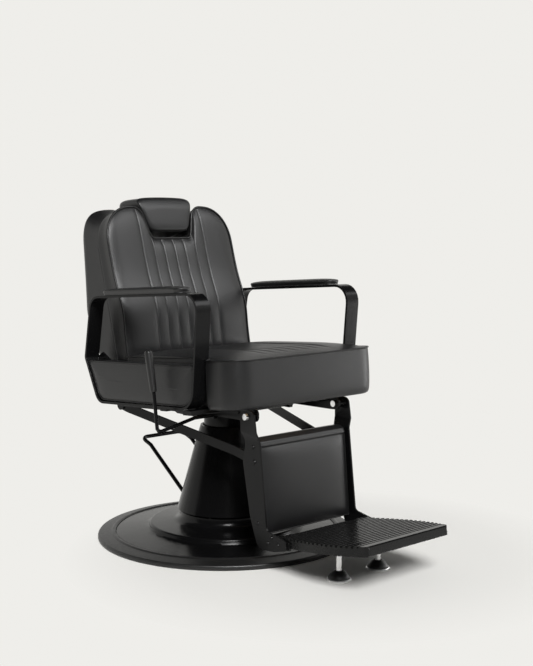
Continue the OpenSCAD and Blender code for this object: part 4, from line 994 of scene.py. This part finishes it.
# ------------------------------------------------------------------ arm pads
# Moulded polyurethane pads with a soft crown, screwed up through the steel of
# the arm from below.
pad_tilt = math.atan((747 - 712.5) / (250 + 251))
PAD_Z, PAD_HALF, PAD_W, PAD_T_ARM, PAD_Y = (747 + 712.5) / 2 + 0.3, 183.5, 27, 19, 9
pad_xs = both_sides([0, 6, 12, 17, 20.5, 23, 24.8, 26, 26.7, 27])
pad_vs = [0, 0.006, 0.016, 0.03, 0.05, 0.08, 0.12] + [0.12 + 0.76 * k / 16 for k in range(1, 16)]
pad_vs += [0.88, 0.92, 0.95, 0.97, 0.984, 0.994, 1]
for hand, name in ((-1, "right"), (1, "left")):
    place = Matrix.Translation((hand * (ARM_IN + BAND_W / 2) * MM, 0, PAD_Z * MM))
    place = place @ Matrix.Rotation(-pad_tilt, 4, "X")

    def pad_end(x, way):
        return PAD_Y + way * (PAD_HALF - 27 + math.sqrt(max(0, 27.3**2 - x * x)))

    def pad_top(x, y):
        return PAD_T_ARM - 6 * (abs(x) / PAD_W) ** 3 - 5 * min(1, abs(y - PAD_Y) / PAD_HALF) ** 8

    pad_rings = [(-0.9, lambda x, y: pad_top(x, y) - 1.5),
                 (-1.2, lambda x, y: 9),
                 (0.6, lambda x, y: 5),
                 (1.5, lambda x, y: 2)]
    arm_pad = cut_cover("arm_pad_moulding_" + name, pad_xs, pad_vs, lambda x: pad_end(x, -1),
                        lambda x: pad_end(x, 1), pad_top, lambda x, y: 0.3, pad_rings, place)[0]
    smooth = arm_pad.modifiers.new("smooth", "SUBSURF")
    smooth.levels = smooth.render_levels = 1
    arm_pad.data.materials.append(moulded.material)
    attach(arm_pad, "lift")
    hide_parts("arm_pad_" + name)

# ------------------------------------------------------------------ calf pad
# A thin foam pad stapled over the board between the leg plates, with a
# separate roll across the top edge.
shin_top, shin_low = Vector((-315.5, 331)), Vector((-334, 127))
shin_lean = math.degrees(math.atan2(shin_top.x - shin_low.x, shin_top.y - shin_low.y))
SHIN_L = (shin_top - shin_low).length
shin_place = lean(shin_low.x, shin_low.y, -shin_lean, Matrix.Rotation(math.radians(90), 4, "X"))
CALF_LO, CALF_HI, CALF_HALF, CALF_FRONT = -30, SHIN_L - 3, 160, 20
calf_mid, calf_reach = (CALF_LO + CALF_HI) / 2, (CALF_HI - CALF_LO) / 2
calf_xs = both_sides([10 * k for k in range(14)] + [138, 145, 150, 154, 157, 159, 160])
calf_vs = [0, 0.008, 0.02, 0.045, 0.08] + [0.08 + 0.84 * k / 22 for k in range(1, 22)]
calf_vs += [0.92, 0.955, 0.98, 0.992, 1]


def calf_face(x, s):
    u, v = min(1, abs(x) / CALF_HALF), min(1, abs(s - calf_mid) / calf_reach)
    return CALF_FRONT - 5 + 9 * (1 - u**6) * (1 - v**8)


calf_rings = [(-0.4, lambda x, s: CALF_FRONT - 7),
              (0.2, lambda x, s: CALF_FRONT - 10),
              (0, lambda x, s: 7)]
calf, calf_rows = cut_cover("calf_cover", calf_xs, calf_vs, lambda x: CALF_LO, lambda x: CALF_HI, calf_face,
                            lambda x, s: 5.3, calf_rings, shin_place)
stuff(calf, calf_rows[0] + tucked(calf, calf_rows), push=2.5, cap=3.0)
finish_cover(calf, "calf_pad", "legrest", hide)
pipe("calf_piping", [(lifted(calf, calf_rows[0], 0.2), True)], "legrest", radius=0.0018)

roll_z = CALF_HI + 1.3
roll_corners = [(-CALF_FRONT - 1, roll_z, 3), (-CALF_FRONT + 3, roll_z + 14, 6), (0, roll_z + 24, 7),
                (18, roll_z + 24, 5), (18, roll_z + 15.3, 1), (-6, roll_z + 15.3, 1), (-6, roll_z, 1)]
roll_place = lean(shin_low.x, shin_low.y, -shin_lean)
roll_line = outline(roll_corners, n=6, spacing=4.0)
roll_xs = [-160, -159.2, -157, -152, -144] + [-132 + 12 * k for k in range(23)] + [144, 152, 157, 159.2, 160]
n = len(roll_line)
centre = sum(roll_line, Vector((0, 0))) / n
points = []
for x in roll_xs:
    drawn = 1 - 0.10 * max(0, (abs(x) - 150) / 10) ** 3
    points += [(x, centre.x + (p.x - centre.x) * drawn, centre.y + (p.y - centre.y) * drawn) for p in roll_line]
faces = [(r * n + k, r * n + (k + 1) % n, (r + 1) * n + (k + 1) % n, (r + 1) * n + k)
         for r in range(len(roll_xs) - 1) for k in range(n)]
faces += [tuple(range(n))[::-1], tuple((len(roll_xs) - 1) * n + k for k in range(n))]
mesh = bpy.data.meshes.new("calf_roll_cover")
mesh.from_pydata([tuple(roll_place @ (Vector(p) * MM)) for p in points], [], faces)
facing_out(mesh)
roll = new_object("calf_roll_cover", mesh)
finish_cover(roll, "calf_roll", "legrest", hide, levels=0)
